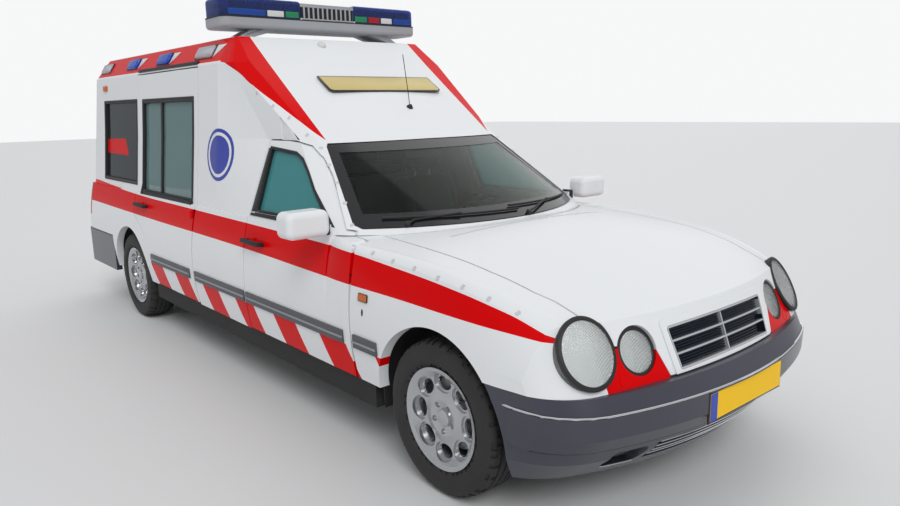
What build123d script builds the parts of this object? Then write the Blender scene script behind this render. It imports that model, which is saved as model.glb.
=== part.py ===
from build123d import *
import os
from math import cos, radians, sin, sqrt

os.makedirs("parts", exist_ok=True)

# A long-wheelbase estate ambulance. Millimetres, +X forward, +Y to the vehicle's left, +Z up.
# The origin is on the ground, under the middle of the overall box.

# Driving dimensions
LENGTH = 5530
WHEELBASE = 3570
FRONT_OVERHANG = 820
TRACK = 1536
HALF_WIDTH = 895
FRONT_AXLE_X = LENGTH / 2 - FRONT_OVERHANG
REAR_AXLE = -WHEELBASE


def at(station):
    """Model x of a station measured forward from the front axle."""
    return FRONT_AXLE_X + station


# Heights
SILL_Z = 345
BUMPER_TOP_Z = 560
WIDEST_Z = 610
BELT_Z = 955
HEADER_Z = 1365
GUTTER_Z = 1785
CREASE_Z = 1935
HULL_BOTTOM_Z = 300

# Panels and gaps
WALL = 50
ROOF_WALL = 40
GAP = 8
SEAT = 0.3
GLASS = 6

# Wheels
TYRE_R = 318
TYRE_WIDTH = 205
RIM_R = 200
RIM_LIP_R = 208
RIM_WIDTH = 178
WHEEL_Z = TYRE_R
ARCH_R = 375
WHEEL_Y = TRACK / 2
WHEELS = [
    ("front_right", 0, -1), ("front_left", 0, 1),
    ("rear_right", REAR_AXLE, -1), ("rear_left", REAR_AXLE, 1),
]

# Doors: leading and trailing stations, hinge set-back and depth
FRONT_DOOR_LEAD = -560
FRONT_DOOR_TRAIL = -1600
REAR_DOOR_LEAD = -2340
REAR_DOOR_TRAIL = -3430
HINGE_BACK = 25
HINGE_Y = 860
HINGE_CLEAR_R = 49

# Tailgate and bonnet, each on two trunnion pins
TAILGATE_BOTTOM_Z = 620
TAILGATE_TOP_Z = 1870
TAILGATE_HINGE = (-4490, 1862)
TAILGATE_RELIEF_R = 33
TAILGATE_RELIEF_HALF = 568
BONNET_HINGE = (-550, 945)
BONNET_REAR_GAP = 14
PIN_R = 5
PIN_CLEAR = 0.1


def side_mirror(part, side):
    """The part as drawn on the left (+Y), or its mirror image for the right."""
    return part if side > 0 else mirror(part, about=Plane.XZ)


def save(name, shape):
    """Label a finished piece and write it; several solids that don't touch share one node."""
    solids = shape.solids()
    if len(solids) > 1:
        shape = Compound(children=list(solids))
    elif solids:
        shape = solids[0]
    shape.label = name
    export_step(shape, f"parts/{name}.step")


def solid_from(sketch_plane, points, depth, both=False):
    """A straight prism over a polygon."""
    with BuildPart() as prism:
        with BuildSketch(sketch_plane):
            with BuildLine():
                Polyline(*points, close=True)
            make_face()
        extrude(amount=depth, both=both)
    return prism.part


# Upper body: plan outlines at four heights. Each row holds the height and, from the
# windscreen's middle round to the box, (station, half width) of: screen middle,
# screen corner, crease, door frame, B post, box corner; then rear station, half width.
BOX_FRONT = -2050
UPPER_ROWS = [
    (BELT_Z, [(-370, 0), (-660, 746), (-700, 785), (-780, 835), (-1620, 838), (BOX_FRONT, 832)], -4610, 832),
    (HEADER_Z, [(-1120, 0), (-1225, 580), (-1240, 612), (-1310, 665), (-1620, 685), (BOX_FRONT, 788)],
     -4590, 788),
    (GUTTER_Z, [(-1790, 0), (-1800, 560), (-1806, 672), (-1900, 728), (-1930, 737), (BOX_FRONT, 752)],
     -4540, 752),
    (CREASE_Z, [(-1993, 0), (-1998, 560), (-2003, 640), (-2015, 645), (-2030, 648), (BOX_FRONT, 650)],
     -4480, 650),
]
REAR_CORNER_R = 120


def upper_outline(row, inset):
    """One plan outline of the upper body, moved in by inset."""
    z, front, rear, rear_half = row
    back_shift = [1.7, 1.7, 1.2, 0.3, 0, 0]
    pts = [(at(x - inset * k), max(y - inset, 0)) for (x, y), k in zip(front, back_shift)]
    x_rear, half = at(rear + inset), rear_half - inset
    r = REAR_CORNER_R - inset / 2
    bend = r * (1 - sqrt(0.5))
    with BuildSketch(Plane.XY.offset(z)) as outline:
        with BuildLine():
            ThreePointArc((pts[1][0], -pts[1][1]), pts[0], pts[1])
            Polyline(*pts[1:], (x_rear + r, half))
            ThreePointArc((x_rear + r, half), (x_rear + bend, half - bend), (x_rear, half - r))
            Line((x_rear, half - r), (x_rear, r - half))
            ThreePointArc((x_rear, r - half), (x_rear + bend, bend - half), (x_rear + r, -half))
            Polyline((x_rear + r, -half), *[(x, -y) for x, y in reversed(pts[1:])])
        make_face()
    return outline.sketch


def upper_hull(inset, roof_inset):
    """The whole upper body as a solid, from the belt to the roof."""
    levels = []
    for row in UPPER_ROWS:
        z = row[0] - (roof_inset if row[0] == CREASE_Z else 0)
        levels.append(upper_outline((z, *row[1:]), inset))
    with BuildPart() as hull:
        for low, high in zip(levels, levels[1:]):
            loft([low.face(), high.face()], ruled=True)
    return hull.part


# Lower body: cross-sections from the cowl forward. Columns: station, half width at the
# bottom, at the widest height, at the shoulder, shoulder height, half width and height
# at the edge of the top, height at the middle.
NOSE_ROWS = [
    (-760, 862, 895, 848, 920, 795, 950, 985),
    (-300, 862, 895, 848, 902, 790, 930, 972),
    (100, 862, 893, 842, 866, 778, 895, 945),
    (330, 852, 880, 822, 822, 752, 850, 902),
    (500, 830, 855, 780, 770, 700, 798, 850),
    (760, 740, 760, 680, 650, 600, 680, 730),
]


def nose_section(row, inset):
    x, low, wide, shoulder, z_shoulder, edge, z_edge, z_mid = row
    corner = ((shoulder + edge) / 2 + 6, (z_shoulder + z_edge) / 2 + 8)
    right = [(low, HULL_BOTTOM_Z), (wide, WIDEST_Z), (shoulder, z_shoulder), corner, (edge, z_edge)]
    pts = [(y - inset, z - (0 if z < WIDEST_Z else inset * 0.6)) for y, z in right]
    top = (0, z_mid - inset * 0.7)
    with BuildSketch(Plane.YZ.offset(at(x))) as section:
        with BuildLine():
            ThreePointArc(pts[0], pts[1], pts[2])
            ThreePointArc(pts[2], pts[3], pts[4])
            ThreePointArc(pts[4], top, (-pts[4][0], pts[4][1]))
            ThreePointArc((-pts[4][0], pts[4][1]), (-pts[3][0], pts[3][1]), (-pts[2][0], pts[2][1]))
            ThreePointArc((-pts[2][0], pts[2][1]), (-pts[1][0], pts[1][1]), (-pts[0][0], pts[0][1]))
            Line((-pts[0][0], pts[0][1]), pts[0])
        make_face()
    return section.sketch


def nose_hull(inset):
    with BuildPart() as hull:
        loft([nose_section(row, inset).face() for row in NOSE_ROWS])
    return hull.part


FLANK_FRONT, FLANK_REAR = -760, -4640
FLANK_LOW_HALF, FLANK_BELT_HALF = 862, 846


def flank_hull(inset):
    """The straight lower body behind the cowl, barrel sided, rounded at the rear corners."""
    low, wide, high = FLANK_LOW_HALF - inset, HALF_WIDTH - inset, FLANK_BELT_HALF - inset
    with BuildPart() as hull:
        with BuildSketch(Plane.YZ.offset(at(FLANK_FRONT))):
            with BuildLine():
                ThreePointArc((low, HULL_BOTTOM_Z), (wide, WIDEST_Z), (high, BELT_Z))
                Line((high, BELT_Z), (-high, BELT_Z))
                ThreePointArc((-high, BELT_Z), (-wide, WIDEST_Z), (-low, HULL_BOTTOM_Z))
                Line((-low, HULL_BOTTOM_Z), (low, HULL_BOTTOM_Z))
            make_face()
        extrude(amount=-(FLANK_FRONT - FLANK_REAR - inset))
        rear_edges = hull.faces().sort_by(Axis.X)[0].edges()
        fillet(rear_edges.filter_by(lambda edge: abs(edge.center().Y) > high / 2), REAR_CORNER_R - inset / 2)
    return hull.part


# Front face: plan outlines that lean the nose back and round its corners. Columns: height,
# station at the middle, at the lamp (half width 690), at the corner's end (865), and behind it.
NOSE_LEAN = [
    (HULL_BOTTOM_Z - 10, 760, 680, 500, 120),
    (BUMPER_TOP_Z, 734, 648, 480, 100),
    (850, 632, 512, 310, -60),
    (1000, 560, 420, 200, -160),
]
LAMP_HALF, CORNER_HALF = 690, 865


def front_outline(z, middle, lamp, corner, behind, inset=0):
    """A plan outline, bowed at the front and rounded at both corners, open to the rear."""
    lamp_y, corner_y = LAMP_HALF - inset, CORNER_HALF - inset
    lamp_x, middle_x = at(lamp - inset), at(middle - inset)
    with BuildSketch(Plane.XY.offset(z)) as outline:
        with BuildLine():
            bow = ThreePointArc((lamp_x, -lamp_y), (middle_x, 0), (lamp_x, lamp_y))
            left = TangentArc(bow @ 1, (at(corner - inset), corner_y), tangent=bow % 1)
            right = TangentArc(bow @ 0, (at(corner - inset), -corner_y), tangent=-(bow % 0))
            Polyline(
                left @ 1, (at(behind - inset), HALF_WIDTH + 20 - inset), (at(-900), HALF_WIDTH + 30 - inset),
                (at(-900), inset - HALF_WIDTH - 30), (at(behind - inset), inset - HALF_WIDTH - 20), right @ 1,
            )
        make_face()
    return outline.sketch.face()


def nose_cutter(inset):
    with BuildPart() as lean:
        loft([front_outline(*row, inset) for row in NOSE_LEAN], ruled=True)
    return lean.part


def nose(inset):
    """The body ahead of the cowl, leaning back at the front."""
    return nose_hull(inset) & nose_cutter(inset)


def lower_hull(inset):
    return flank_hull(inset) + nose(inset)


def outer_hull(inset, roof_inset=None):
    return lower_hull(inset) + upper_hull(inset, inset if roof_inset is None else roof_inset)


def xz_prism(outline, y_low, y_high):
    """A prism through the side of the body over an outline of (station, height) points."""
    pts = [(at(x), z) for x, z in outline]
    return solid_from(Plane.XZ.offset(-y_high), pts, y_high - y_low)


def yz_prism(outline, station_low, station_high):
    """A prism along the body over an outline of (half width, height), both sides of the middle."""
    pts = [*outline, *[(-y, z) for y, z in reversed(outline) if y > 0]]
    return solid_from(Plane.YZ.offset(at(station_low)), pts, station_high - station_low)


def box_between(x, y, z):
    """A box between two stations, two half widths and two heights, each pair in any order."""
    with BuildPart() as block:
        with Locations((at(sum(x) / 2), sum(y) / 2, sum(z) / 2)):
            Box(abs(x[1] - x[0]), abs(y[1] - y[0]), abs(z[1] - z[0]))
    return block.part


def cylinder_y(station, z, radius, y_low, y_high):
    with BuildPart() as drum:
        with BuildSketch(Plane.XZ.offset(-y_high)):
            with Locations((at(station), z)):
                Circle(radius)
        extrude(amount=y_high - y_low)
    return drum.part


def cylinder_z(station, y, radius, z_low, z_high):
    with BuildPart() as post:
        with BuildSketch(Plane.XY.offset(z_low)):
            with Locations((at(station), y)):
                Circle(radius)
        extrude(amount=z_high - z_low)
    return post.part


# Side openings, as (station, height) outlines; the rear end of each door is round about its hinge
FRONT_DOOR_OUTLINE = [
    (FRONT_DOOR_LEAD, SILL_Z), (FRONT_DOOR_LEAD, 925), (-620, BELT_Z), (-735, 972), (-1010, 1192),
    (-1130, 1275), (-1230, 1330), (-1310, 1350), (-1400, HEADER_Z - GAP), (-1800, HEADER_Z - GAP),
    (-1800, SILL_Z),
]
FRONT_WINDOW_OUTLINE = [
    (-815, 992), (-1030, 1135), (-1130, 1210), (-1220, 1270), (-1300, 1298), (-1560, 1318), (-1535, 985),
]
REAR_DOOR_OUTLINE = [
    (REAR_DOOR_LEAD, SILL_Z), (REAR_DOOR_LEAD, GUTTER_Z - GAP), (-3600, GUTTER_Z - GAP), (-3600, SILL_Z),
]
REAR_WINDOW_OUTLINE = [(-2420, 972), (-2420, 1590), (-3315, 1590), (-3315, 972)]
QUARTER_WINDOW_OUTLINE = [(-3460, 1020), (-3460, 1600), (-4220, 1600), (-4220, 1020)]
ROOF_OUTLINE = [
    (-4900, GUTTER_Z), (-1900, GUTTER_Z), (-1310, HEADER_Z), (-900, HEADER_Z), (-900, 2100), (-4900, 2100),
]
# How far in a side door reaches, seen from the front: (half width, height)
FRONT_DOOR_INSIDE = [
    (770, 200), (770, 950), (752, BELT_Z + 12), (603, HEADER_Z), (603, 1500), (1100, 1500), (1100, 200),
]
REAR_DOOR_INSIDE = [(600, 200), (600, 1900), (1100, 1900), (1100, 200)]
REAR_DOOR_ARCH_R = 500
FRONT_DOOR_REACH = FRONT_DOOR_LEAD - FRONT_DOOR_TRAIL - HINGE_BACK
REAR_DOOR_REACH = REAR_DOOR_LEAD - REAR_DOOR_TRAIL - HINGE_BACK


def door_zone(outline, inside, lead, reach, gap):
    """The left side's door opening: its outline grown by a gap, round at the free edge."""
    with BuildPart() as zone:
        with BuildSketch(Plane.XZ.offset(-1000)):
            with BuildLine():
                Polyline(*[(at(x), z) for x, z in outline], close=True)
            make_face()
            if gap:
                offset(amount=gap, kind=Kind.INTERSECTION)
        extrude(amount=600)
    sweep_drum = cylinder_z(lead - HINGE_BACK, HINGE_Y, reach + gap, 200, 2000)
    inside_grown = [(y - (gap if y < 1000 else 0), z) for y, z in inside]
    depth = solid_from(Plane.YZ.offset(at(-4000)), inside_grown, 4000)
    return zone.part & sweep_drum & depth


def door_relief(lead):
    """Room for the leading edge of a side door to turn in, about its hinge."""
    return cylinder_z(lead - HINGE_BACK, HINGE_Y, HINGE_CLEAR_R, SILL_Z - GAP, BELT_Z + 20)


# Tailgate: outline seen from behind, as (half width, height)
TAILGATE_HALF, TAILGATE_GUTTER_HALF, TAILGATE_TOP_HALF = 676, 596, 548


def tailgate_outline(gap):
    """The tailgate, or with a gap its opening."""
    bottom_z, top_z = TAILGATE_BOTTOM_Z - gap, TAILGATE_TOP_Z + gap
    return [
        (0, bottom_z), (TAILGATE_HALF + gap, bottom_z), (TAILGATE_HALF + gap, BELT_Z),
        (TAILGATE_GUTTER_HALF + gap, GUTTER_Z), (TAILGATE_TOP_HALF + gap, top_z), (0, top_z),
    ]


TAILGATE_WINDOW_OUTLINE = [(0, 1060), (560, 1060), (505, 1600), (0, 1600)]

# Side door hinges: an eye on a cranked strap from a body post, and a pin in a pocket of the door
HINGE_EYE_R = 11
HINGE_HALF = 20
HINGE_HEIGHTS = {"front": (480, 790), "rear": (480, 900)}
PIN_BEYOND_EYE = 10
POCKET_AHEAD, POCKET_BEHIND, POCKET_OVER = 5, 16, 6
STRAP_HALF = 8
STRAP_Y = (795, 811)
POST_AHEAD = (30, 90)
POST_INNER_Y = 760
POST_TOP = {"front": 880, "rear": 1000}
POST_FOOT_Z = SILL_Z - GAP - 20


def hinge_parts(lead, z):
    """For the left side: the body's strap and eye, the door's pin, and the door's pocket."""
    axis_x = lead - HINGE_BACK
    heights = (z - HINGE_HALF, z + HINGE_HALF)
    bore_heights = (z - 2 * HINGE_HALF, z + 2 * HINGE_HALF)
    with BuildPart() as strap:
        add(cylinder_z(axis_x, HINGE_Y, HINGE_EYE_R, *heights))
        add(box_between((axis_x - STRAP_HALF, axis_x + STRAP_HALF), (STRAP_Y[0], HINGE_Y), heights))
        add(box_between((axis_x - STRAP_HALF, lead + POST_AHEAD[1]), STRAP_Y, heights))
        add(cylinder_z(axis_x, HINGE_Y, PIN_R + PIN_CLEAR, *bore_heights), mode=Mode.SUBTRACT)
    pin = cylinder_z(axis_x, HINGE_Y, PIN_R, heights[0] - PIN_BEYOND_EYE, heights[1] + PIN_BEYOND_EYE)
    pocket = box_between((axis_x - POCKET_BEHIND, lead + POCKET_AHEAD),
                         (POST_INNER_Y - 60, HINGE_Y + POCKET_BEHIND),
                         (heights[0] - POCKET_OVER, heights[1] + POCKET_OVER))
    return strap.part, pin, pocket


def body_post(lead, end):
    """The inner post that carries a door's hinges, standing on the sill."""
    with BuildPart() as post:
        add(box_between((lead + POST_AHEAD[0], lead + POST_AHEAD[1]), (POST_INNER_Y, STRAP_Y[1]),
                        (POST_FOOT_Z, POST_TOP[end])))
        for z in HINGE_HEIGHTS[end]:
            add(hinge_parts(lead, z)[0])
    return post.part


posts_left = body_post(FRONT_DOOR_LEAD, "front") + body_post(REAR_DOOR_LEAD, "rear")


def hang_door(door, lead, end):
    """The door with its hinge pockets cut and its pins in place."""
    for z in HINGE_HEIGHTS[end]:
        _, pin, pocket = hinge_parts(lead, z)
        door = door - pocket + pin
    return door


def trunnion(hinge, half_low, half_high, radius):
    """Two pins or bores along Y on a hinge line given as (station, height)."""
    left = cylinder_y(*hinge, radius, half_low, half_high)
    return left, mirror(left, about=Plane.XZ)


# Body skin: one hull and smaller copies of it
outer = outer_hull(0)
inner = outer_hull(WALL, ROOF_WALL)
skin = outer - inner
left_half = box_between((-5000, 1200), (0, 1200), (0, 2300))
skin_left = skin & left_half

# Openings in the body, all drawn for the left side
front_door_void = door_zone(FRONT_DOOR_OUTLINE, FRONT_DOOR_INSIDE, FRONT_DOOR_LEAD, FRONT_DOOR_REACH, GAP)
front_door_block = door_zone(FRONT_DOOR_OUTLINE, FRONT_DOOR_INSIDE, FRONT_DOOR_LEAD, FRONT_DOOR_REACH, 0)
rear_door_void = door_zone(REAR_DOOR_OUTLINE, REAR_DOOR_INSIDE, REAR_DOOR_LEAD, REAR_DOOR_REACH, GAP)
rear_door_block = door_zone(REAR_DOOR_OUTLINE, REAR_DOOR_INSIDE, REAR_DOOR_LEAD, REAR_DOOR_REACH, 0)
rear_door_arch = cylinder_y(REAR_AXLE, WHEEL_Z, REAR_DOOR_ARCH_R, 300, 1000)
rear_arch_ring = cylinder_y(REAR_AXLE, WHEEL_Z, REAR_DOOR_ARCH_R - GAP, 300, 1000)
rear_door_void = rear_door_void - rear_arch_ring
rear_door_block = rear_door_block - rear_door_arch
roof_zone = xz_prism(ROOF_OUTLINE, -1000, 1000)
tailgate_zone = yz_prism(tailgate_outline(0), -4900, -4420)
tailgate_void = yz_prism(tailgate_outline(GAP), -4900, -4400)

# Lamps: a domed round block square to the leaning nose, and the pocket it sits in.
# Columns: name, centre station, half width, height, radius across, radius upright, lean back, turn out
LAMP_ROWS = [
    ("main", 596, 691, 698, 112, 126, 28, 13),
    ("small", 634, 482, 664, 83, 86, 24, 9),
]
LAMP_DEPTH = 70
LAMP_DOME_R = 420
LAMP_APEX = 12
LAMP_CLEAR = 0.5
LAMP_LID_CLEAR = 5


def lamp_plane(row, side):
    _, station, half, z, _, _, lean, turn = row
    level, turn = cos(radians(lean)), radians(turn)
    forward = (level * cos(turn), side * level * sin(turn), sin(radians(lean)))
    across = (-sin(turn), side * cos(turn), 0)
    return Plane(origin=(at(station), side * half, z), x_dir=across, z_dir=forward)


def lamp_block(row, side, grow=0.0, domed=True):
    across, upright = row[4] + grow, row[5] + grow
    plane = lamp_plane(row, side)
    with BuildPart() as lamp:
        with BuildSketch(plane.offset(-LAMP_DEPTH)):
            Ellipse(across, upright)
        extrude(amount=LAMP_DEPTH + 60)
        if domed:
            with Locations(plane.offset(LAMP_APEX - LAMP_DOME_R)):
                Sphere(LAMP_DOME_R, mode=Mode.INTERSECT)
    return lamp.part


lamps = [lamp_block(row, side) for row in LAMP_ROWS for side in (-1, 1)]
lamp_pockets = [lamp_block(row, side, LAMP_CLEAR, False) for row in LAMP_ROWS for side in (-1, 1)]
lid_lamp_pockets = [lamp_block(row, side, LAMP_LID_CLEAR, False) for row in LAMP_ROWS for side in (-1, 1)]

# Bonnet zone: plan of its shut lines, and its lower boundary seen from the front, which dips
# between the lamps
BONNET_SIDE_HALF = 640
BONNET_PLAN = [(130, 684), (335, 672), (420, 650), (520, BONNET_SIDE_HALF), (900, BONNET_SIDE_HALF)]
BONNET_REAR_CORNER = (-578, 672)
BONNET_REAR_MIDDLE = -345
BONNET_TIP_CLEAR = 8
BONNET_BOTTOM_Z = BUMPER_TOP_Z + 6
LAMP_GAP_Z = 700
BONNET_FRONT = [
    (0, BONNET_BOTTOM_Z), (366, BONNET_BOTTOM_Z), (402, 668), (500, 690), (575, LAMP_GAP_Z),
    (BONNET_SIDE_HALF, LAMP_GAP_Z), (BONNET_SIDE_HALF, 800), (720, 800), (720, 1100),
]


def bonnet_zone(gap):
    corner_x, corner_y = BONNET_REAR_CORNER
    rear_gap = BONNET_REAR_GAP if gap else 0
    corner = (at(corner_x - rear_gap if gap else corner_x + BONNET_TIP_CLEAR), corner_y + gap)
    edge = [(at(x), y + gap) for x, y in BONNET_PLAN]
    with BuildPart() as plan:
        with BuildSketch(Plane.XY.offset(500)):
            with BuildLine():
                ThreePointArc((corner[0], -corner[1]), (at(BONNET_REAR_MIDDLE - rear_gap), 0), corner)
                Polyline(corner, *edge)
                Line(edge[-1], (edge[-1][0], -edge[-1][1]))
                Polyline((corner[0], -corner[1]), *[(x, -y) for x, y in edge])
            make_face()
        extrude(amount=600)
    front = yz_prism([(y, z - (gap if y < 720 else 0)) for y, z in BONNET_FRONT], -900, 900)
    return plan.part & front


bonnet_block = bonnet_zone(0)
bonnet_void = bonnet_zone(GAP)

# Front bumper: plan outlines from the lip up. Columns as NOSE_LEAN
BUMPER_ROWS = [
    (205, 660, 500, 260, 150),
    (300, 748, 612, 420, 200),
    (420, FRONT_OVERHANG, 696, 520, 200),
    (505, FRONT_OVERHANG, 700, 530, 200),
    (BUMPER_TOP_Z, 774, 672, 505, 150),
]
BUMPER_WALL = 45
BUMPER_REAR = 157
BUMPER_LIP_Z, BUMPER_LIP_HALF = 190, 860
STRIP_Z, STRIP_REAR, STRIP_CORNER_R, STRIP_PROUD = (365, 500), 396, 32, 7
PLATE_PAD = ((797, 1000), (-266, 266), (382, 496))
INTAKE = ((400, 1000), (-430, 430), (248, 334))
SIDE_INTAKE_Y, SIDE_INTAKE_Z, SIDE_INTAKE_R = (462, 610), (252, 330), 22
INTAKE_SLATS, SLAT_THICK, SLAT_SET_BACK, SLAT_DEPTH = 3, 8, 4, 26


def bumper_solid(inset):
    """The bumper filled solid, bowed ahead and kept inside the body's barrel sides."""
    half, lip_half = HALF_WIDTH - inset, BUMPER_LIP_HALF - inset
    with BuildPart() as solid:
        loft([front_outline(*row, inset) for row in BUMPER_ROWS], ruled=True)
        with BuildSketch(Plane.YZ.offset(at(-100))):
            with BuildLine():
                ThreePointArc((lip_half, BUMPER_LIP_Z), (half + 3, 430), (half, BUMPER_TOP_Z))
                Line((half, BUMPER_TOP_Z), (-half, BUMPER_TOP_Z))
                ThreePointArc((-half, BUMPER_TOP_Z), (-half - 3, 430), (-lip_half, BUMPER_LIP_Z))
                Line((-lip_half, BUMPER_LIP_Z), (lip_half, BUMPER_LIP_Z))
            make_face()
        extrude(amount=1100, mode=Mode.INTERSECT)
    return solid.part


def strip_zone():
    """The side view of the rubbing strip, rounded at its rear ends, right across the vehicle."""
    with BuildPart() as zone:
        with BuildSketch(Plane.XZ.offset(-1000)) as view:
            with BuildLine():
                Polyline((at(STRIP_REAR), STRIP_Z[0]), (at(STRIP_REAR), STRIP_Z[1]), (at(1000), STRIP_Z[1]),
                         (at(1000), STRIP_Z[0]), close=True)
            make_face()
            fillet(view.vertices().sort_by(Axis.X)[:2], STRIP_CORNER_R)
        extrude(amount=2000)
    return zone.part


def side_intake():
    """The rounded opening low in the bumper's left corner."""
    with BuildPart() as opening:
        with BuildSketch(Plane.YZ.offset(at(400))) as view:
            with Locations((sum(SIDE_INTAKE_Y) / 2, sum(SIDE_INTAKE_Z) / 2)):
                Rectangle(SIDE_INTAKE_Y[1] - SIDE_INTAKE_Y[0], SIDE_INTAKE_Z[1] - SIDE_INTAKE_Z[0])
            fillet(view.vertices(), SIDE_INTAKE_R)
        extrude(amount=600)
    return opening.part


bumper_filled = bumper_solid(STRIP_PROUD)
front_bumper = bumper_filled + (bumper_solid(0) & strip_zone()) - bumper_solid(BUMPER_WALL)
front_bumper = front_bumper - box_between(*PLATE_PAD) - box_between(*INTAKE)
front_bumper = front_bumper - side_intake() - mirror(side_intake(), about=Plane.XZ)
slat_inset = STRIP_PROUD + SLAT_SET_BACK
slat_shell = bumper_solid(slat_inset) - bumper_solid(slat_inset + SLAT_DEPTH)
intake_pitch = (INTAKE[2][1] - INTAKE[2][0]) / (INTAKE_SLATS + 1)
for number in range(1, INTAKE_SLATS + 1):
    slat_z = INTAKE[2][0] + number * intake_pitch
    slat = box_between(INTAKE[0], (INTAKE[1][0] - 5, INTAKE[1][1] + 5),
                       (slat_z - SLAT_THICK / 2, slat_z + SLAT_THICK / 2))
    front_bumper = front_bumper + (slat_shell & slat)
front_bumper = front_bumper & box_between((BUMPER_REAR, 1000), (-1000, 1000), (0, BUMPER_TOP_Z))
front_bumper = front_bumper - cylinder_y(0, WHEEL_Z, ARCH_R + 5, -1000, 1000)
for pocket in lamp_pockets:
    front_bumper = front_bumper - pocket
save("front_bumper", front_bumper)

# Rear bumper: a rounded trough wrapped round to the rear arches
REAR_BUMPER_Z = (300, 585)
REAR_BUMPER_END = -3960
REAR_BUMPER_CORNER_R = 130
REAR_BUMPER_WALL = 42
REAR_END = FRONT_OVERHANG - LENGTH


def rear_bumper_outline(inset):
    """The bumper's plan; with an inset, what is hollow inside it, open to the front."""
    half = HALF_WIDTH - 4 - inset
    with BuildSketch(Plane.XY.offset(REAR_BUMPER_Z[0])) as outline:
        with Locations((at((REAR_BUMPER_END + REAR_END + 3 * inset) / 2), 0)):
            Rectangle(REAR_BUMPER_END - REAR_END + inset, 2 * half)
        fillet(outline.vertices().sort_by(Axis.X)[:2], REAR_BUMPER_CORNER_R - inset)
    return outline.sketch


with BuildPart() as rear_bumper:
    extrude(to_extrude=rear_bumper_outline(0), amount=REAR_BUMPER_Z[1] - REAR_BUMPER_Z[0])
    fillet(rear_bumper.faces().sort_by(Axis.Z)[-1].edges().sort_by(Axis.X)[:-1], 18)
    extrude(to_extrude=rear_bumper_outline(REAR_BUMPER_WALL), amount=REAR_BUMPER_Z[1] - REAR_BUMPER_Z[0],
            mode=Mode.SUBTRACT)
save("rear_bumper", rear_bumper.part)
rear_bumper_zone = box_between((-4800, REAR_BUMPER_END + SEAT), (-1000, 1000), (0, REAR_BUMPER_Z[1] + SEAT))

# Tail lamps: panes let into the rear corners
tail_lamp_zone = box_between((-4700, -4500), (692, 900), (700, 940))
pane_depth = outer_hull(14)
tail_lamp_left = (outer - pane_depth) & tail_lamp_zone
save("tail_lamps", tail_lamp_left + mirror(tail_lamp_left, about=Plane.XZ))

# Windscreen and its frame: cowl ends, pillars and header, from the belt up
SCREEN_OUTLINE = [
    (0, BELT_Z + 22), (722, BELT_Z + 22), (742, BELT_Z + 40), (592, 1328), (575, 1345), (0, 1348),
]
SCREEN_STATIONS = (-1300, -250)
SCREEN_SET_BACK = 5
screen_zone = yz_prism(SCREEN_OUTLINE, *SCREEN_STATIONS)
screen_front = upper_hull(SCREEN_SET_BACK, SCREEN_SET_BACK)
screen_back = upper_hull(SCREEN_SET_BACK + GLASS, SCREEN_SET_BACK + GLASS)
pane_outline = [(y - (SEAT if y else 0), z) for y, z in SCREEN_OUTLINE]
save("windscreen", (screen_front - screen_back) & yz_prism(pane_outline, *SCREEN_STATIONS))
BODY_BREAK = FRONT_DOOR_TRAIL + 120
frame_zone = box_between((BODY_BREAK, SCREEN_STATIONS[1]), (-1000, 1000), (BELT_Z, HEADER_Z))
cowl_zone = box_between((-760, -330), (-765, 765), (880, BELT_Z))
screen_frame = (skin & frame_zone) + (skin & cowl_zone)
screen_frame = screen_frame - screen_zone - roof_zone
for side in (-1, 1):
    screen_frame = screen_frame - side_mirror(front_door_void, side)
    screen_frame = screen_frame - side_mirror(door_relief(FRONT_DOOR_LEAD), side)
screen_frame = screen_frame - bonnet_void
for pin in trunnion(BONNET_HINGE, 660, 700, PIN_R):
    screen_frame = screen_frame + pin
save("windscreen_frame", screen_frame)

# Roof, with its sloping front and red chamfer
roof = (skin & roof_zone) - tailgate_void
roof = roof - cylinder_y(*TAILGATE_HINGE, TAILGATE_RELIEF_R, -TAILGATE_RELIEF_HALF, TAILGATE_RELIEF_HALF)
for pin in trunnion(TAILGATE_HINGE, 532, TAILGATE_RELIEF_HALF + 10, PIN_R):
    roof = roof + pin
ROOF_PANEL, ROOF_PANEL_R = ((-4380, -2480), (-560, 560), (CREASE_Z - 5, CREASE_Z + 4)), 60
with BuildPart() as roof_panel:
    add(box_between(*ROOF_PANEL))
    fillet(roof_panel.edges().filter_by(Axis.Z), ROOF_PANEL_R)
roof = roof + roof_panel.part
save("roof", roof)

# Side panels: B post, blind panel, rear quarter
side_zone = box_between((-5000, BODY_BREAK), (0, 1200), (SILL_Z - GAP, GUTTER_Z))
side_left = (skin_left & side_zone) - roof_zone - front_door_void - rear_door_void - frame_zone
side_left = side_left - door_relief(REAR_DOOR_LEAD) - tailgate_void - rear_bumper_zone - tail_lamp_zone
side_left = side_left - cylinder_y(REAR_AXLE, WHEEL_Z, ARCH_R, 300, 1000)
quarter_window_void = xz_prism(QUARTER_WINDOW_OUTLINE, 600, 1000)
side_left = side_left - quarter_window_void - posts_left
save("side_panel_left", side_left)
save("side_panel_right", mirror(side_left, about=Plane.XZ))

# Glass of the side windows: panes between two smaller copies of the hull
PANE_SET_BACK = 16
PANE_BACK = PANE_SET_BACK + GLASS
pane_skin = upper_hull(PANE_SET_BACK, PANE_SET_BACK) - upper_hull(PANE_BACK, PANE_BACK)


def side_pane(outline):
    """A pane on the left, SEAT smaller than its opening all round."""
    with BuildPart() as zone:
        with BuildSketch(Plane.XZ.offset(-1000)):
            with BuildLine():
                Polyline(*[(at(x), z) for x, z in outline], close=True)
            make_face()
            offset(amount=-SEAT, kind=Kind.INTERSECTION)
        extrude(amount=500)
    return pane_skin & zone.part


quarter_left = side_pane(QUARTER_WINDOW_OUTLINE)
save("quarter_windows", quarter_left + mirror(quarter_left, about=Plane.XZ))

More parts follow.
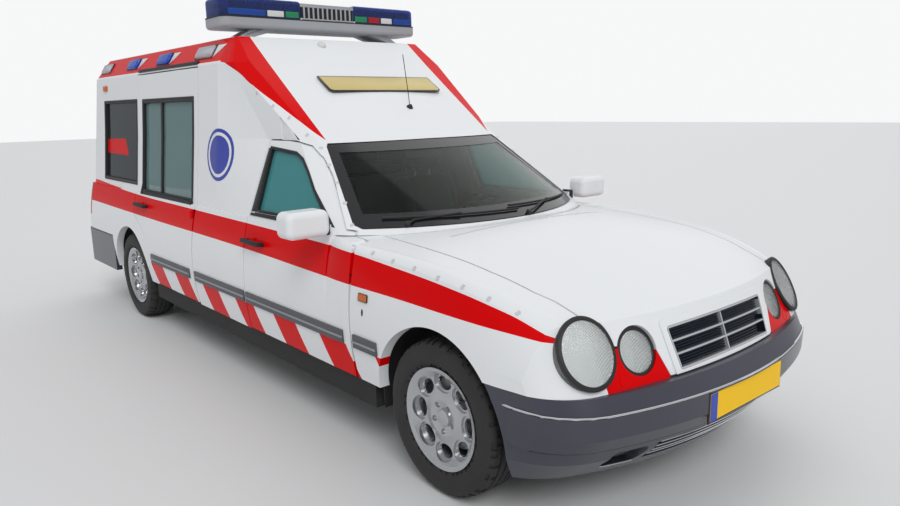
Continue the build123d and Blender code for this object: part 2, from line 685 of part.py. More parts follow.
# Front doors, with pane and mirror
front_door_left = (skin_left & front_door_block) - xz_prism(FRONT_WINDOW_OUTLINE, 500, 1000)
front_door_left = hang_door(front_door_left, FRONT_DOOR_LEAD, "front")
front_glass_left = side_pane(FRONT_WINDOW_OUTLINE)
MIRROR_SHELL = ((-815, -710), (866, 1078), (962, 1082))
MIRROR_ARM = ((-840, -790), (820, 880), (969, 999))
MIRROR_CORNER_R, MIRROR_NOSE_R = 34, 30
MIRROR_RIM, MIRROR_HOLLOW = 7, 12
with BuildPart() as door_mirror:
    add(box_between(*MIRROR_SHELL))
    fillet(door_mirror.edges().filter_by(Axis.X), MIRROR_CORNER_R)
    fillet(door_mirror.faces().sort_by(Axis.X)[-1].edges(), MIRROR_NOSE_R)
    mirror_face = door_mirror.faces().sort_by(Axis.X)[0]
    with BuildSketch(Plane(mirror_face)):
        offset(mirror_face, amount=-MIRROR_RIM)
    extrude(amount=-MIRROR_HOLLOW, mode=Mode.SUBTRACT)
    add(box_between(*MIRROR_ARM))
door_mirror_left = door_mirror.part - outer
for side, word in ((-1, "right"), (1, "left")):
    save(f"front_door_{word}", side_mirror(front_door_left, side))
    save(f"front_glass_{word}", side_mirror(front_glass_left, side))
    save(f"door_mirror_{word}", side_mirror(door_mirror_left, side))

# Rear doors, cut round the arch
rear_door_left = (skin_left & rear_door_block) - xz_prism(REAR_WINDOW_OUTLINE, 500, 1000)
rear_door_left = hang_door(rear_door_left, REAR_DOOR_LEAD, "rear")
rear_glass_left = side_pane(REAR_WINDOW_OUTLINE)
for side, word in ((-1, "right"), (1, "left")):
    save(f"rear_door_{word}", side_mirror(rear_door_left, side))
    save(f"rear_glass_{word}", side_mirror(rear_glass_left, side))

# Tailgate
tailgate_window = yz_prism(TAILGATE_WINDOW_OUTLINE, -4900, -4400)
tailgate = (skin & tailgate_zone) - tailgate_window - rear_bumper_zone
for bore in trunnion(TAILGATE_HINGE, 530, 575, PIN_R + PIN_CLEAR):
    tailgate = tailgate - bore
save("tailgate", tailgate)
tailgate_pane = [(max(y - SEAT, 0), z + (SEAT if z < 1300 else -SEAT)) for y, z in TAILGATE_WINDOW_OUTLINE]
save("tailgate_glass", pane_skin & yz_prism(tailgate_pane, -4900, -4420))

# Bonnet with a raised collar round the grille, and the grille: chrome frame, bars and slats,
# all bowed as the nose is, because each is a prism cut out of a thin layer of the nose
BONNET_WALL = 35
GRILLE_LEAN = radians(17)
GRILLE_CENTRE = (700, 655)
grille_normal = (cos(GRILLE_LEAN), 0, sin(GRILLE_LEAN))
grille_plane = Plane(origin=(at(GRILLE_CENTRE[0]), 0, GRILLE_CENTRE[1]), x_dir=(0, 1, 0), z_dir=grille_normal)
GRILLE_HALF_TOP, GRILLE_HALF_BOTTOM, GRILLE_HALF_HEIGHT = 333, 314, 82
GRILLE_REACH = 120
GRILLE_CORNER_R = 14
GRILLE_FRAME = 9
GRILLE_BAR = 7
GRILLE_SLAT = 5
GRILLE_ROWS = 3
SLATS_PER_ROW = 4
COLLAR_WIDTH = 26
COLLAR_PROUD = 6
BAR_SET_BACK, SLAT_ROW_SET_BACK, GRILLE_BACK = 0, 12, 32


def grille_outline(grow):
    """The grille's outline in its leaning plane, grown or shrunk."""
    half_bottom, half_top = GRILLE_HALF_BOTTOM + grow, GRILLE_HALF_TOP + grow
    half_height = GRILLE_HALF_HEIGHT + grow
    with BuildSketch(grille_plane) as outline:
        with BuildLine():
            Polyline(
                (half_bottom, -half_height), (half_top, half_height), (-half_top, half_height),
                (-half_bottom, -half_height), close=True,
            )
        make_face()
        fillet(outline.vertices(), GRILLE_CORNER_R)
    return outline.sketch


def grille_prism(sketch):
    """A prism through the nose, square to the leaning grille."""
    with BuildPart() as prism:
        extrude(to_extrude=sketch, amount=GRILLE_REACH, both=True)
    return prism.part


proud_nose = nose(-COLLAR_PROUD)
bonnet = (outer - outer_hull(BONNET_WALL)) & bonnet_block
collar = grille_prism(grille_outline(COLLAR_WIDTH)) & bonnet_block & (proud_nose - nose(BONNET_WALL))
bonnet = (bonnet + collar) - grille_prism(grille_outline(SEAT))
for pocket in lid_lamp_pockets:
    bonnet = bonnet - pocket
WASHER_SLOT = ((-336, -322), (-500, 520), (900, 1000))
bonnet = bonnet - box_between(*WASHER_SLOT)
for bore in trunnion(BONNET_HINGE, 658, 700, PIN_R + PIN_CLEAR):
    bonnet = bonnet - bore
save("bonnet", bonnet)

row_height = 2 * (GRILLE_HALF_HEIGHT - GRILLE_FRAME) / GRILLE_ROWS
with BuildSketch(grille_plane) as bars:
    Rectangle(GRILLE_BAR, 2 * GRILLE_HALF_HEIGHT)
    with Locations((0, row_height / 2), (0, -row_height / 2)):
        Rectangle(2 * GRILLE_HALF_TOP, GRILLE_BAR)
slat_pitch = row_height / (SLATS_PER_ROW + 1)
slat_places = [(0, (row - 1) * row_height + (slat - (SLATS_PER_ROW + 1) / 2) * slat_pitch)
               for row in range(GRILLE_ROWS) for slat in range(1, SLATS_PER_ROW + 1)]
with BuildSketch(grille_plane) as slats:
    with Locations(*slat_places):
        Rectangle(2 * GRILLE_HALF_TOP, GRILLE_SLAT)
grille_depth = nose(GRILLE_BACK)
frame_prism = grille_prism(grille_outline(0)) - grille_prism(grille_outline(-GRILLE_FRAME))
grille = frame_prism & (proud_nose - grille_depth)
grille = grille + (grille_prism(bars.sketch & grille_outline(-1)) & (nose(BAR_SET_BACK) - grille_depth))
grille = grille + (grille_prism(slats.sketch & grille_outline(-1)) & (nose(SLAT_ROW_SET_BACK) - grille_depth))
save("grille", grille)

# Nose panels under and between the lamps, and the wings
NOSE_PANEL_Y = (370, 655)
nose_panel_zone = box_between((400, 900), NOSE_PANEL_Y, (500, LAMP_GAP_Z))
bumper_zone = box_between((BUMPER_REAR - 1, 1000), (-1000, 1000), (0, BUMPER_TOP_Z + SEAT))
wing_zone = box_between((FRONT_DOOR_LEAD, 1000), (0, 1200), (SILL_Z, BELT_Z)) - bumper_zone
nose_left = (skin_left & nose_panel_zone) - bumper_zone - bonnet_void
wing_left = (skin_left & wing_zone) - nose_panel_zone - bonnet_void
wing_left = wing_left - box_between((0, 1000), (0, NOSE_PANEL_Y[0] + 2), (0, 1200))
wing_left = wing_left - front_door_void - door_relief(FRONT_DOOR_LEAD)
wing_left = wing_left - cylinder_y(0, WHEEL_Z, ARCH_R, 300, 1000) - frame_zone - cowl_zone - posts_left
for pocket in lamp_pockets:
    nose_left = nose_left - pocket
    wing_left = wing_left - pocket
save("nose_panels", nose_left + mirror(nose_left, about=Plane.XZ))
save("wing_left", wing_left)
save("wing_right", mirror(wing_left, about=Plane.XZ))
save("headlamps", Compound(children=lamps))

# Floor with sills and inner arches
FLOOR_Z = (232, 262)
FLOOR_TOP = FLOOR_Z[1]
FLOOR_STATIONS = (322, -4500)
FLOOR_HALF = 700
SILL_Y = (700, 856)
SILL_TOP_Z = SILL_Z - GAP
WELL_INNER_Y = {"front": 475, "rear": 560}
WELL_OUTER_Y = 835
WELL_R, WELL_WALL = 395, 8
with BuildPart() as underbody:
    add(box_between(FLOOR_STATIONS, (-FLOOR_HALF, FLOOR_HALF), FLOOR_Z))
    for side in (-1, 1):
        add(box_between((-430, REAR_AXLE + 430), (side * SILL_Y[0], side * SILL_Y[1]),
                        (FLOOR_Z[0], SILL_TOP_Z)))
    for name, station, side in WHEELS:
        well_y = WELL_INNER_Y[name.split("_")[0]]
        well = cylinder_y(station, WHEEL_Z, WELL_R + WELL_WALL, well_y - WELL_WALL, WELL_OUTER_Y)
        add(side_mirror(well, side))
    for name, station, side in WHEELS:
        well_y = WELL_INNER_Y[name.split("_")[0]]
        add(side_mirror(cylinder_y(station, WHEEL_Z, WELL_R, well_y, 1000), side), mode=Mode.SUBTRACT)
        add(box_between((station - WELL_R, station + WELL_R), (side * well_y, side * 1000), (0, WHEEL_Z)),
            mode=Mode.SUBTRACT)
    add(box_between((1000, -5000), (-1000, 1000), (-200, FLOOR_Z[0])), mode=Mode.SUBTRACT)
    add(box_between((FLOOR_STATIONS[0], 1000), (-1000, 1000), (0, 1200)), mode=Mode.SUBTRACT)
underbody_inside = inner + box_between((1000, -5000), (-SILL_Y[1], SILL_Y[1]), (0, SILL_TOP_Z))
underbody_shape = (underbody.part & underbody_inside) - bumper_filled
save("underbody", underbody_shape + posts_left + mirror(posts_left, about=Plane.XZ))

# Engine block, standing on the floor
ENGINE = ((-330, 330), (-260, 260), (FLOOR_TOP + SEAT, 790))
save("engine", box_between(*ENGINE))

# Front suspension: crossmember, lower arms and struts
KINGPIN_Y = 690
KINGPIN_R = 12
UPRIGHT_Y = (655, 715)
UPRIGHT_HALF = 34
UPRIGHT_TOP = 450
ARM_Z = (186, 206)
ARM_HALF, ARM_ROOT_Y, ARM_BEYOND_PIN = 26, 380, 20
CROSSMEMBER = ((-60, 60), (-400, 400), (ARM_Z[0], FLOOR_Z[0]))
STRUT_Y, STRUT_R, STRUT_ARM_HALF, STRUT_ARM_DEEP = 590, 26, 30, 30
STUB_R = 25
STUB_END_Y = 800
with BuildPart() as front_suspension:
    add(box_between(*CROSSMEMBER))
    for side in (-1, 1):
        arm_y = (side * ARM_ROOT_Y, side * (KINGPIN_Y + ARM_BEYOND_PIN))
        add(box_between((-ARM_HALF, ARM_HALF), arm_y, ARM_Z))
        add(cylinder_z(0, side * KINGPIN_Y, KINGPIN_R + PIN_CLEAR, *ARM_Z), mode=Mode.SUBTRACT)
        add(cylinder_z(0, side * STRUT_Y, STRUT_R, UPRIGHT_TOP + SEAT, WHEEL_Z + WELL_R - 1))
save("front_suspension", front_suspension.part)



def stub_axle(station, side):
    """The round end that carries a wheel, on the outer face of an upright."""
    return side_mirror(cylinder_y(station, WHEEL_Z, STUB_R, UPRIGHT_Y[1] - 5, STUB_END_Y), side)


# Knuckles: upright with a stub axle, turning about an upright pin over the arm's end
for side, word in ((-1, "right"), (1, "left")):
    with BuildPart() as knuckle:
        add(cylinder_z(0, side * KINGPIN_Y, KINGPIN_R, ARM_Z[0], ARM_Z[1] + 10))
        add(box_between((-UPRIGHT_HALF, UPRIGHT_HALF), (side * UPRIGHT_Y[0], side * UPRIGHT_Y[1]),
                        (ARM_Z[1] + SEAT, UPRIGHT_TOP)))
        add(box_between((-STRUT_ARM_HALF, STRUT_ARM_HALF),
                        (side * (STRUT_Y - STRUT_ARM_HALF), side * (UPRIGHT_Y[0] + 10)),
                        (UPRIGHT_TOP - STRUT_ARM_DEEP, UPRIGHT_TOP)))
        add(stub_axle(0, side))
    save(f"knuckle_{word}", knuckle.part)

# Rear axle: carrier, final drive, half shafts, arms and stub axles. Columns: half length,
# inner half width, outer half width, bottom, top
AXLE_BLOCKS = [
    (130, -120, 120, 180, FLOOR_Z[0]),
    (60, -430, 430, 196, FLOOR_Z[0]),
    (30, 400, UPRIGHT_Y[1], 196, 226),
    (30, -400, -UPRIGHT_Y[1], 196, 226),
    (45, UPRIGHT_Y[0], UPRIGHT_Y[1], 196, UPRIGHT_TOP),
    (45, -UPRIGHT_Y[0], -UPRIGHT_Y[1], 196, UPRIGHT_TOP),
]
with BuildPart() as rear_axle:
    for half, inner_y, outer_y, low, high in AXLE_BLOCKS:
        add(box_between((REAR_AXLE - half, REAR_AXLE + half), (inner_y, outer_y), (low, high)))
    for side in (-1, 1):
        add(stub_axle(REAR_AXLE, side))
save("rear_axle", rear_axle.part)

# Exhaust: a pipe along the floor, and a silencer that hangs from it
PIPE_R, PIPE_Z, PIPE_BEND_R = 28, 196, 200
PIPE_ROUTE = [(-300, -230), (-900, -230), (-1300, -330), (-3000, -330)]
SILENCER = ((-2300, -1700), (-420, -240), (158, FLOOR_Z[0]))
pipe_points = [(at(station), y, PIPE_Z) for station, y in PIPE_ROUTE]
with BuildPart() as exhaust:
    with BuildLine():
        FilletPolyline(*pipe_points, radius=PIPE_BEND_R)
    with BuildSketch(Plane(origin=pipe_points[0], z_dir=(-1, 0, 0))):
        Circle(PIPE_R)
    sweep()
    add(box_between(*SILENCER))
save("exhaust", exhaust.part)

# Wheels: tyre and pierced rim, drawn about the axle line of the front left wheel. The
# profiles are (distance from the wheel's middle plane, radius). The tyre's has few straight
# runs, which keeps four round tyres light.
wheel_axis = Axis((at(0), 0, WHEEL_Z), (0, 1, 0))
BEAD_HALF, BULGE_R, SHOULDER_HALF, SHOULDER_R, TREAD_HALF = 71, 256, 98, 298, 80
TYRE_HALF_PROFILE = [
    (BEAD_HALF, RIM_R), (TYRE_WIDTH / 2, BULGE_R), (SHOULDER_HALF, SHOULDER_R), (TREAD_HALF, TYRE_R),
]


def wheel_section(profile):
    """A section through the left wheel over its axle, from (distance, radius) points."""
    Polyline(*[(WHEEL_Y + distance, WHEEL_Z + radius) for distance, radius in profile], close=True)


tyre_inner_half = [(-across, radius) for across, radius in reversed(TYRE_HALF_PROFILE)]
with BuildPart() as tyre_left:
    with BuildSketch(Plane.YZ.offset(at(0))):
        with BuildLine():
            wheel_section([*TYRE_HALF_PROFILE, *tyre_inner_half])
        make_face()
    revolve(axis=wheel_axis)

RIM_HALF = RIM_WIDTH / 2
RIM_BORE_R = STUB_R + SEAT
RIM_SEAT_R = RIM_R - SEAT
HUB_R, HUB_BACK = 72, 10
RIM_PROFILE = [
    (4, RIM_BORE_R), (RIM_HALF - 30, RIM_BORE_R), (RIM_HALF - 18, HUB_R), (RIM_HALF - 26, 105),
    (RIM_HALF - 22, 165), (RIM_HALF - 6, 190), (RIM_HALF, RIM_LIP_R), (RIM_HALF - 5, RIM_LIP_R),
    (RIM_HALF - 9, RIM_SEAT_R), (-RIM_HALF, RIM_SEAT_R), (-RIM_HALF, 182), (RIM_HALF - 60, 178),
    (RIM_HALF - 42, 150), (RIM_HALF - 46, 105), (RIM_HALF - 50, HUB_R + 20), (-HUB_BACK, HUB_R + 14),
    (-HUB_BACK, 150), (-HUB_BACK - 12, 150), (-HUB_BACK - 12, RIM_BORE_R),
]
SPOKE_HOLES, SPOKE_HOLE_AT, SPOKE_HOLE_HALF, SPOKE_HOLE_DEPTH = 8, 143, (26, 38), 55
SCOOP_HALF, SCOOP_DEPTH = (40, 52), 42
BOLT_HOLES, BOLT_CIRCLE_R, BOLT_HOLE_R, BOLT_HOLE_DEPTH = 5, 56, 12, 34
with BuildPart() as rim_left:
    with BuildSketch(Plane.YZ.offset(at(0))):
        with BuildLine():
            wheel_section(RIM_PROFILE)
        make_face()
    revolve(axis=wheel_axis)
    rim_face = Plane(origin=(at(0), WHEEL_Y + RIM_HALF + 1, WHEEL_Z), x_dir=(1, 0, 0), z_dir=(0, 1, 0))
    with BuildSketch(rim_face):
        with PolarLocations(SPOKE_HOLE_AT, SPOKE_HOLES):
            Ellipse(*SPOKE_HOLE_HALF)
    extrude(amount=-SPOKE_HOLE_DEPTH, mode=Mode.SUBTRACT)
    for place in PolarLocations(SPOKE_HOLE_AT, SPOKE_HOLES):
        with BuildSketch(rim_face * place) as scoop_mouth:
            Ellipse(*SCOOP_HALF)
        with BuildSketch(rim_face.offset(-SCOOP_DEPTH) * place) as scoop_throat:
            Ellipse(*SPOKE_HOLE_HALF)
        loft([scoop_mouth.sketch.face(), scoop_throat.sketch.face()], mode=Mode.SUBTRACT)
    with BuildSketch(rim_face):
        with PolarLocations(BOLT_CIRCLE_R, BOLT_HOLES, start_angle=18):
            Circle(BOLT_HOLE_R)
    extrude(amount=-BOLT_HOLE_DEPTH, mode=Mode.SUBTRACT)
for name, station, side in WHEELS:
    for kind, drawn in (("tyre", tyre_left.part), ("rim", rim_left.part)):
        save(f"{kind}_{name}", Pos(station, 0, 0) * side_mirror(drawn, side))

# Light bar: a tray on four raked feet with a siren in the middle, and a dome at each end
LIGHTBAR_X, LIGHTBAR_HALF = (-2340, -2060), 700
TRAY_Z, DOME_TOP_Z = (1992, 2055), 2165
TRAY_CORNER_R, TRAY_KEEL_R = 60, 20
SIREN_HALF, SIREN_MARGIN, SIREN_TOP_Z = 190, 10, 2145
DOME_MARGIN, DOME_CORNER_R, DOME_TOP_R = 5, 60, 24
FOOT_Y, FOOT_TOP_Y, FOOT_X, FOOT_R = (520, 580), (300, 400), (-2300, -2240, -2160, -2100), 8
with BuildPart() as lightbar:
    add(box_between(LIGHTBAR_X, (-LIGHTBAR_HALF, LIGHTBAR_HALF), TRAY_Z))
    fillet(lightbar.edges().filter_by(Axis.Z), TRAY_CORNER_R)
    fillet(lightbar.faces().sort_by(Axis.Z)[0].edges(), TRAY_KEEL_R)
    add(box_between((LIGHTBAR_X[0] + SIREN_MARGIN, LIGHTBAR_X[1] - SIREN_MARGIN), (-SIREN_HALF, SIREN_HALF),
                    (TRAY_Z[1], SIREN_TOP_Z)))
    for side in (-1, 1):
        foot_view = [(side * FOOT_Y[0], CREASE_Z), (side * FOOT_Y[1], CREASE_Z),
                     (side * FOOT_TOP_Y[1], TRAY_Z[0] + 10), (side * FOOT_TOP_Y[0], TRAY_Z[0] + 10)]
        for rear, front in (FOOT_X[:2], FOOT_X[2:]):
            add(solid_from(Plane.YZ.offset(at(rear)), foot_view, front - rear))
save("lightbar", lightbar.part)
with BuildPart() as lightbar_dome:
    add(box_between((LIGHTBAR_X[0] + DOME_MARGIN, LIGHTBAR_X[1] - DOME_MARGIN),
                    (SIREN_HALF + SEAT, LIGHTBAR_HALF - DOME_MARGIN), (TRAY_Z[1] + SEAT, DOME_TOP_Z)))
    fillet(lightbar_dome.edges().filter_by(Axis.Z).sort_by(Axis.Y)[-2:], DOME_CORNER_R)
    fillet(lightbar_dome.faces().sort_by(Axis.Z)[-1].edges(), DOME_TOP_R)
save("lightbar_lenses", lightbar_dome.part + mirror(lightbar_dome.part, about=Plane.XZ))

# Beacons along the roof's red chamfer, each square to it
BEACON_STATIONS = [(-2440, -2190), (-3115, -2890), (-3740, -3520), (-4370, -4170)]
BEACON_PROUD, BEACON_HEIGHT, BEACON_EDGE_R = 22, 90, 12
BEACON_Y, BEACON_Z = 700, 1862
chamfer_normal = (0, CREASE_Z - GUTTER_Z, UPPER_ROWS[2][3] - UPPER_ROWS[3][3])
beacon_blocks = []
for low, high in BEACON_STATIONS:
    beacon_centre = (at((low + high) / 2), BEACON_Y, BEACON_Z)
    with BuildPart() as beacon:
        with Locations(Plane(origin=beacon_centre, x_dir=(1, 0, 0), z_dir=chamfer_normal)):
            Box(high - low, BEACON_HEIGHT, 2 * BEACON_PROUD)
            fillet(beacon.edges(), BEACON_EDGE_R)
    beacon_blocks += [beacon.part - outer, mirror(beacon.part - outer, about=Plane.XZ)]
save("side_beacons", Compound(children=beacon_blocks))

# Cab: dashboard with column and console, steering wheel, seats, bulkhead
DRIVER_Y = 380
DASHBOARD_SIDE = [(-720, 700), (-720, 880), (-790, 918), (-980, 935), (-1060, 880), (-1040, 640), (-900, 600)]
DASHBOARD_HALF = 700
CONSOLE = ((-1030, -780), (-110, 110), (FLOOR_TOP + SEAT, 720))
COLUMN_RAKE, COLUMN_R, STEERING_REACH = radians(25), 32, 125
WHEEL_RIM_R, WHEEL_RIM_THICK, WHEEL_HUB_R, WHEEL_HUB_DEPTH = 180, 14, 48, 36
steering_axis_plane = Plane(origin=(at(-1000), DRIVER_Y, 790), z_dir=(-cos(COLUMN_RAKE), 0, sin(COLUMN_RAKE)))
with BuildPart() as dashboard:
    with BuildSketch(Plane.XZ.offset(-DASHBOARD_HALF)):
        with BuildLine():
            Polyline(*[(at(x), z) for x, z in DASHBOARD_SIDE], close=True)
        make_face()
    extrude(amount=2 * DASHBOARD_HALF)
    with BuildSketch(steering_axis_plane):
        Circle(COLUMN_R)
    extrude(amount=STEERING_REACH - WHEEL_HUB_DEPTH / 2 - SEAT)
    add(box_between(*CONSOLE))
save("dashboard", dashboard.part)
with BuildPart() as steering_wheel:
    with Locations(steering_axis_plane.offset(STEERING_REACH)):
        Torus(WHEEL_RIM_R, WHEEL_RIM_THICK)
        Cylinder(WHEEL_HUB_R, WHEEL_HUB_DEPTH)
        with PolarLocations(WHEEL_HUB_R + 52, 4):
            Box(170, 34, 14)
save("steering_wheel", steering_wheel.part)

# Seats. Columns: station, height, length, width, thickness, lean back, of base, cushion,
# backrest, head restraint
SEAT_BLOCKS = [
    (-1330, 335, 380, 380, 146, 0),
    (-1330, 480, 480, 500, 150, 0),
    (-1540, 800, 120, 490, 640, 18),
    (-1655, 1205, 90, 270, 170, 12),
]
HEAD_POST = (-1640, 1120, 14)
HEAD_POST_HALF_GAP, HEAD_POST_R, HEAD_POST_LENGTH = 60, 7, 120


def leaning_plane(station, y, z, lean):
    """A plane whose upright direction leans back by this many degrees."""
    return Plane(origin=(at(station), y, z), x_dir=(cos(radians(lean)), 0, sin(radians(lean))),
                 z_dir=(-sin(radians(lean)), 0, cos(radians(lean))))


with BuildPart() as front_seats:
    for side in (-1, 1):
        for station, z, length, width, thick, lean in SEAT_BLOCKS:
            with Locations(leaning_plane(station, side * DRIVER_Y, z, lean)):
                Box(length, width, thick)
        for post_y in (-HEAD_POST_HALF_GAP, HEAD_POST_HALF_GAP):
            with Locations(leaning_plane(HEAD_POST[0], side * DRIVER_Y + post_y, HEAD_POST[1], HEAD_POST[2])):
                Cylinder(HEAD_POST_R, HEAD_POST_LENGTH)
save("front_seats", front_seats.part)

# Load space: bulkhead with its hatch, a shelved cabinet and the attendant's seat
INSIDE_HALF = FLOOR_HALF - 5
BULKHEAD = ((-1810, -1780), (-INSIDE_HALF, INSIDE_HALF), (FLOOR_TOP + SEAT, 1540))
BULKHEAD_HATCH = ((-1900, -1700), (-330, 330), (1120, 1420))
CABINET = ((-3120, -1840), (470, INSIDE_HALF), (FLOOR_TOP + SEAT, 1500))
CABINET_RECESS = ((-3080, -1880), (400, 600), (600, 1400))
save("bulkhead", (box_between(*BULKHEAD) & inner) - box_between(*BULKHEAD_HATCH))
save("cabinet", (box_between(*CABINET) & inner) - box_between(*CABINET_RECESS))
ATTENDANT_Y, ATTENDANT_SEAT_Z = (-530, -100), (430, 540)
with BuildPart() as attendant_seat:
    add(box_between((-3250, -2800), ATTENDANT_Y, ATTENDANT_SEAT_Z))
    add(box_between((-3330, -3250), ATTENDANT_Y, (ATTENDANT_SEAT_Z[0], 1180)))
    add(box_between((-3150, -2900), (-430, -230), (FLOOR_TOP + SEAT, ATTENDANT_SEAT_Z[0])))
save("attendant_seat", attendant_seat.part)
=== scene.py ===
# %% [markdown]
# # An estate ambulance, dressed for its portrait
#
# The CAD model already holds every panel, door, wheel and hinge at its real size.
# This lesson adds what makes it look real: enamel and stripes, lamps, seals, trim, a
# cabin and tyres.

# %% Load the frame
from math import cos, pi, radians, sin

import bmesh
import bpy
from mathutils import Matrix, Vector


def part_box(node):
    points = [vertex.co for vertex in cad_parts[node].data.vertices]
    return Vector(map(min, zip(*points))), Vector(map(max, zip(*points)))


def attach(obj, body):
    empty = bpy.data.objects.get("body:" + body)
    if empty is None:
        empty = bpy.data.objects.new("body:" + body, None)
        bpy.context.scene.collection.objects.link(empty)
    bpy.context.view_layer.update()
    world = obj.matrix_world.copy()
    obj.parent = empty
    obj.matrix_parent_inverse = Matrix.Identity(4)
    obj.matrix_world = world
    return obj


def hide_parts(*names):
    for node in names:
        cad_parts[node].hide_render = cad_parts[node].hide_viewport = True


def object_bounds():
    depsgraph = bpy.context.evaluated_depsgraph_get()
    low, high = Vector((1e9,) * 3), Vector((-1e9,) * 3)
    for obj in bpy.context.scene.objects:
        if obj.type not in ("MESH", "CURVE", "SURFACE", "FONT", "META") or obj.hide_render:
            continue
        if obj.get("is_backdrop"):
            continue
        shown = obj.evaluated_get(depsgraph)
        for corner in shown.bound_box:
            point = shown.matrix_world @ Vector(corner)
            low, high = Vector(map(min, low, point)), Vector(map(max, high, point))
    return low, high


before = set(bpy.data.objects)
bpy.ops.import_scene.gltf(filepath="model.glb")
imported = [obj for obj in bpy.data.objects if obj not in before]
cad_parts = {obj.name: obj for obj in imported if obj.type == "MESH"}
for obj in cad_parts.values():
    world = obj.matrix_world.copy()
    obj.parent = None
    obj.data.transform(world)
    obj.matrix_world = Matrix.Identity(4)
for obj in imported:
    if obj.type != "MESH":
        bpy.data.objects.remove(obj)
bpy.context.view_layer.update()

# %% [markdown]
# Panel makers measure along a vehicle in stations from the front axle, forward positive.
# The axle is read from the front wheel, so a longer or shorter vehicle still fits. Rays
# and flat outlines start well clear of the body: ahead, behind, beside or above it.

# %% Stations and wheels
rim_low, rim_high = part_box("rim_front_right")
rear_low, rear_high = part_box("rim_rear_right")
FRONT_AXLE = (rim_low.x + rim_high.x) / 2
REAR_STATION = (rear_low.x + rear_high.x) / 2 - FRONT_AXLE
AXLE_Z = (rim_low.z + rim_high.z) / 2
RIM_R = (rim_high.z - rim_low.z) / 2
RIM_FACE = -rim_low.y
SIDES = (("right", -1), ("left", 1))
WHEELS = [(f"{end}_{word}", station, side) for end, station in (("front", 0.0), ("rear", REAR_STATION))
          for word, side in SIDES]


def at(station):
    """Row x of a station measured forward from the front axle."""
    return FRONT_AXLE + station


AHEAD, BEHIND = at(1.2), at(-5.2)
BESIDE, ABOVE = -1.3, 2.6
FORWARD, BACKWARD = (1, 0, 0), (-1, 0, 0)
LEFT, RIGHT = (0, 1, 0), (0, -1, 0)
UP, DOWN = (0, 0, 1), (0, 0, -1)
print("axle", round(FRONT_AXLE, 3), "wheelbase", round(-REAR_STATION, 3), "rim radius", round(RIM_R, 3))

# %% [markdown]
# Most pieces are started the same way: nothing else selected, one primitive, a few
# operators. These short helpers keep that rhythm and nothing more. `settle` ends every
# piece: its place goes into its mesh, its shading is set, and it is told what it rides on.

# %% Working helpers
def alone(obj=None):
    """Deselect everything, then make obj the one selected and active object."""
    if bpy.context.object and bpy.context.object.mode == "EDIT":
        bpy.ops.object.mode_set(mode="OBJECT")
    bpy.ops.object.select_all(action="DESELECT")
    if obj:
        obj.select_set(True)
        bpy.context.view_layer.objects.active = obj
    return obj


def edit(obj, kind="FACE"):
    """Open obj for editing with everything selected."""
    alone(obj)
    bpy.ops.object.mode_set(mode="EDIT")
    bpy.ops.mesh.select_mode(type=kind)
    bpy.ops.mesh.select_all(action="SELECT")


def choose(obj, test, kind="faces"):
    """Select the faces whose (centre, normal), or the edges whose (middle, edge), pass; returns how many."""
    bm = bmesh.from_edit_mesh(obj.data)
    for group in (bm.verts, bm.edges, bm.faces):
        for element in group:
            element.select = False
    count = 0
    for element in getattr(bm, kind):
        if kind == "faces":
            good = test(element.calc_center_median(), element.normal)
        else:
            good = test((element.verts[0].co + element.verts[1].co) / 2, element)
        if good:
            element.select_set(True)
            count += 1
    bmesh.update_edit_mesh(obj.data)
    return count


def modify(obj, kind, **values):
    """Add a modifier, set it and apply it."""
    alone(obj)
    modifier = obj.modifiers.new(kind.title(), kind)
    for key, value in values.items():
        setattr(modifier, key, value)
    bpy.ops.object.modifier_apply(modifier=modifier.name)
    return obj


def settle(obj, name, body, finish, smooth=35):
    """Name the piece, apply its place, shade it, give it its finish and its body."""
    alone(obj)
    obj.name = name
    bpy.ops.object.transform_apply(location=True, rotation=True, scale=True)
    edit(obj)
    bpy.ops.mesh.normals_make_consistent(inside=False)
    alone(obj)
    bpy.ops.object.shade_smooth_by_angle(angle=radians(smooth))
    obj.data.materials.clear()
    obj.data.materials.append(finish)
    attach(obj, body)


def join(pieces):
    """Join several meshes into the first."""
    alone(pieces[0])
    for piece in pieces[1:]:
        piece.select_set(True)
    if len(pieces) > 1:
        bpy.ops.object.join()
    return pieces[0]


def copied(obj, matrix):
    """A copy with its own mesh, moved by matrix; turned right side out if it was mirrored."""
    twin = obj.copy()
    twin.data = obj.data.copy()
    twin.parent = None
    bpy.context.scene.collection.objects.link(twin)
    twin.data.transform(matrix)
    if matrix.determinant() < 0:
        twin.data.flip_normals()
    return twin


MIRROR = Matrix.Scale(-1, 4, LEFT)


def both_sides(obj, stem, body, finish, smooth=35):
    """Settle a right-hand piece and its left-hand twin. {} in body becomes the side's word."""
    twin = copied(obj, MIRROR @ obj.matrix_world)
    twin.matrix_world = Matrix.Identity(4)
    settle(obj, f"{stem}_right", body.format("right"), finish, smooth)
    settle(twin, f"{stem}_left", body.format("left"), finish, smooth)
    return obj, twin


def block(size, place, bevel=0.0, segments=3, turn=(0, 0, 0)):
    """A block with its edges rounded, the start of many small mouldings."""
    alone()
    bpy.ops.mesh.primitive_cube_add(size=1, location=place, rotation=turn)
    obj = bpy.context.object
    obj.scale = size
    bpy.ops.object.transform_apply(location=False, rotation=False, scale=True)
    if bevel:
        edit(obj, "EDGE")
        bpy.ops.mesh.bevel(offset=bevel, segments=segments, profile=0.5, affect="EDGES", clamp_overlap=True)
    return alone(obj)


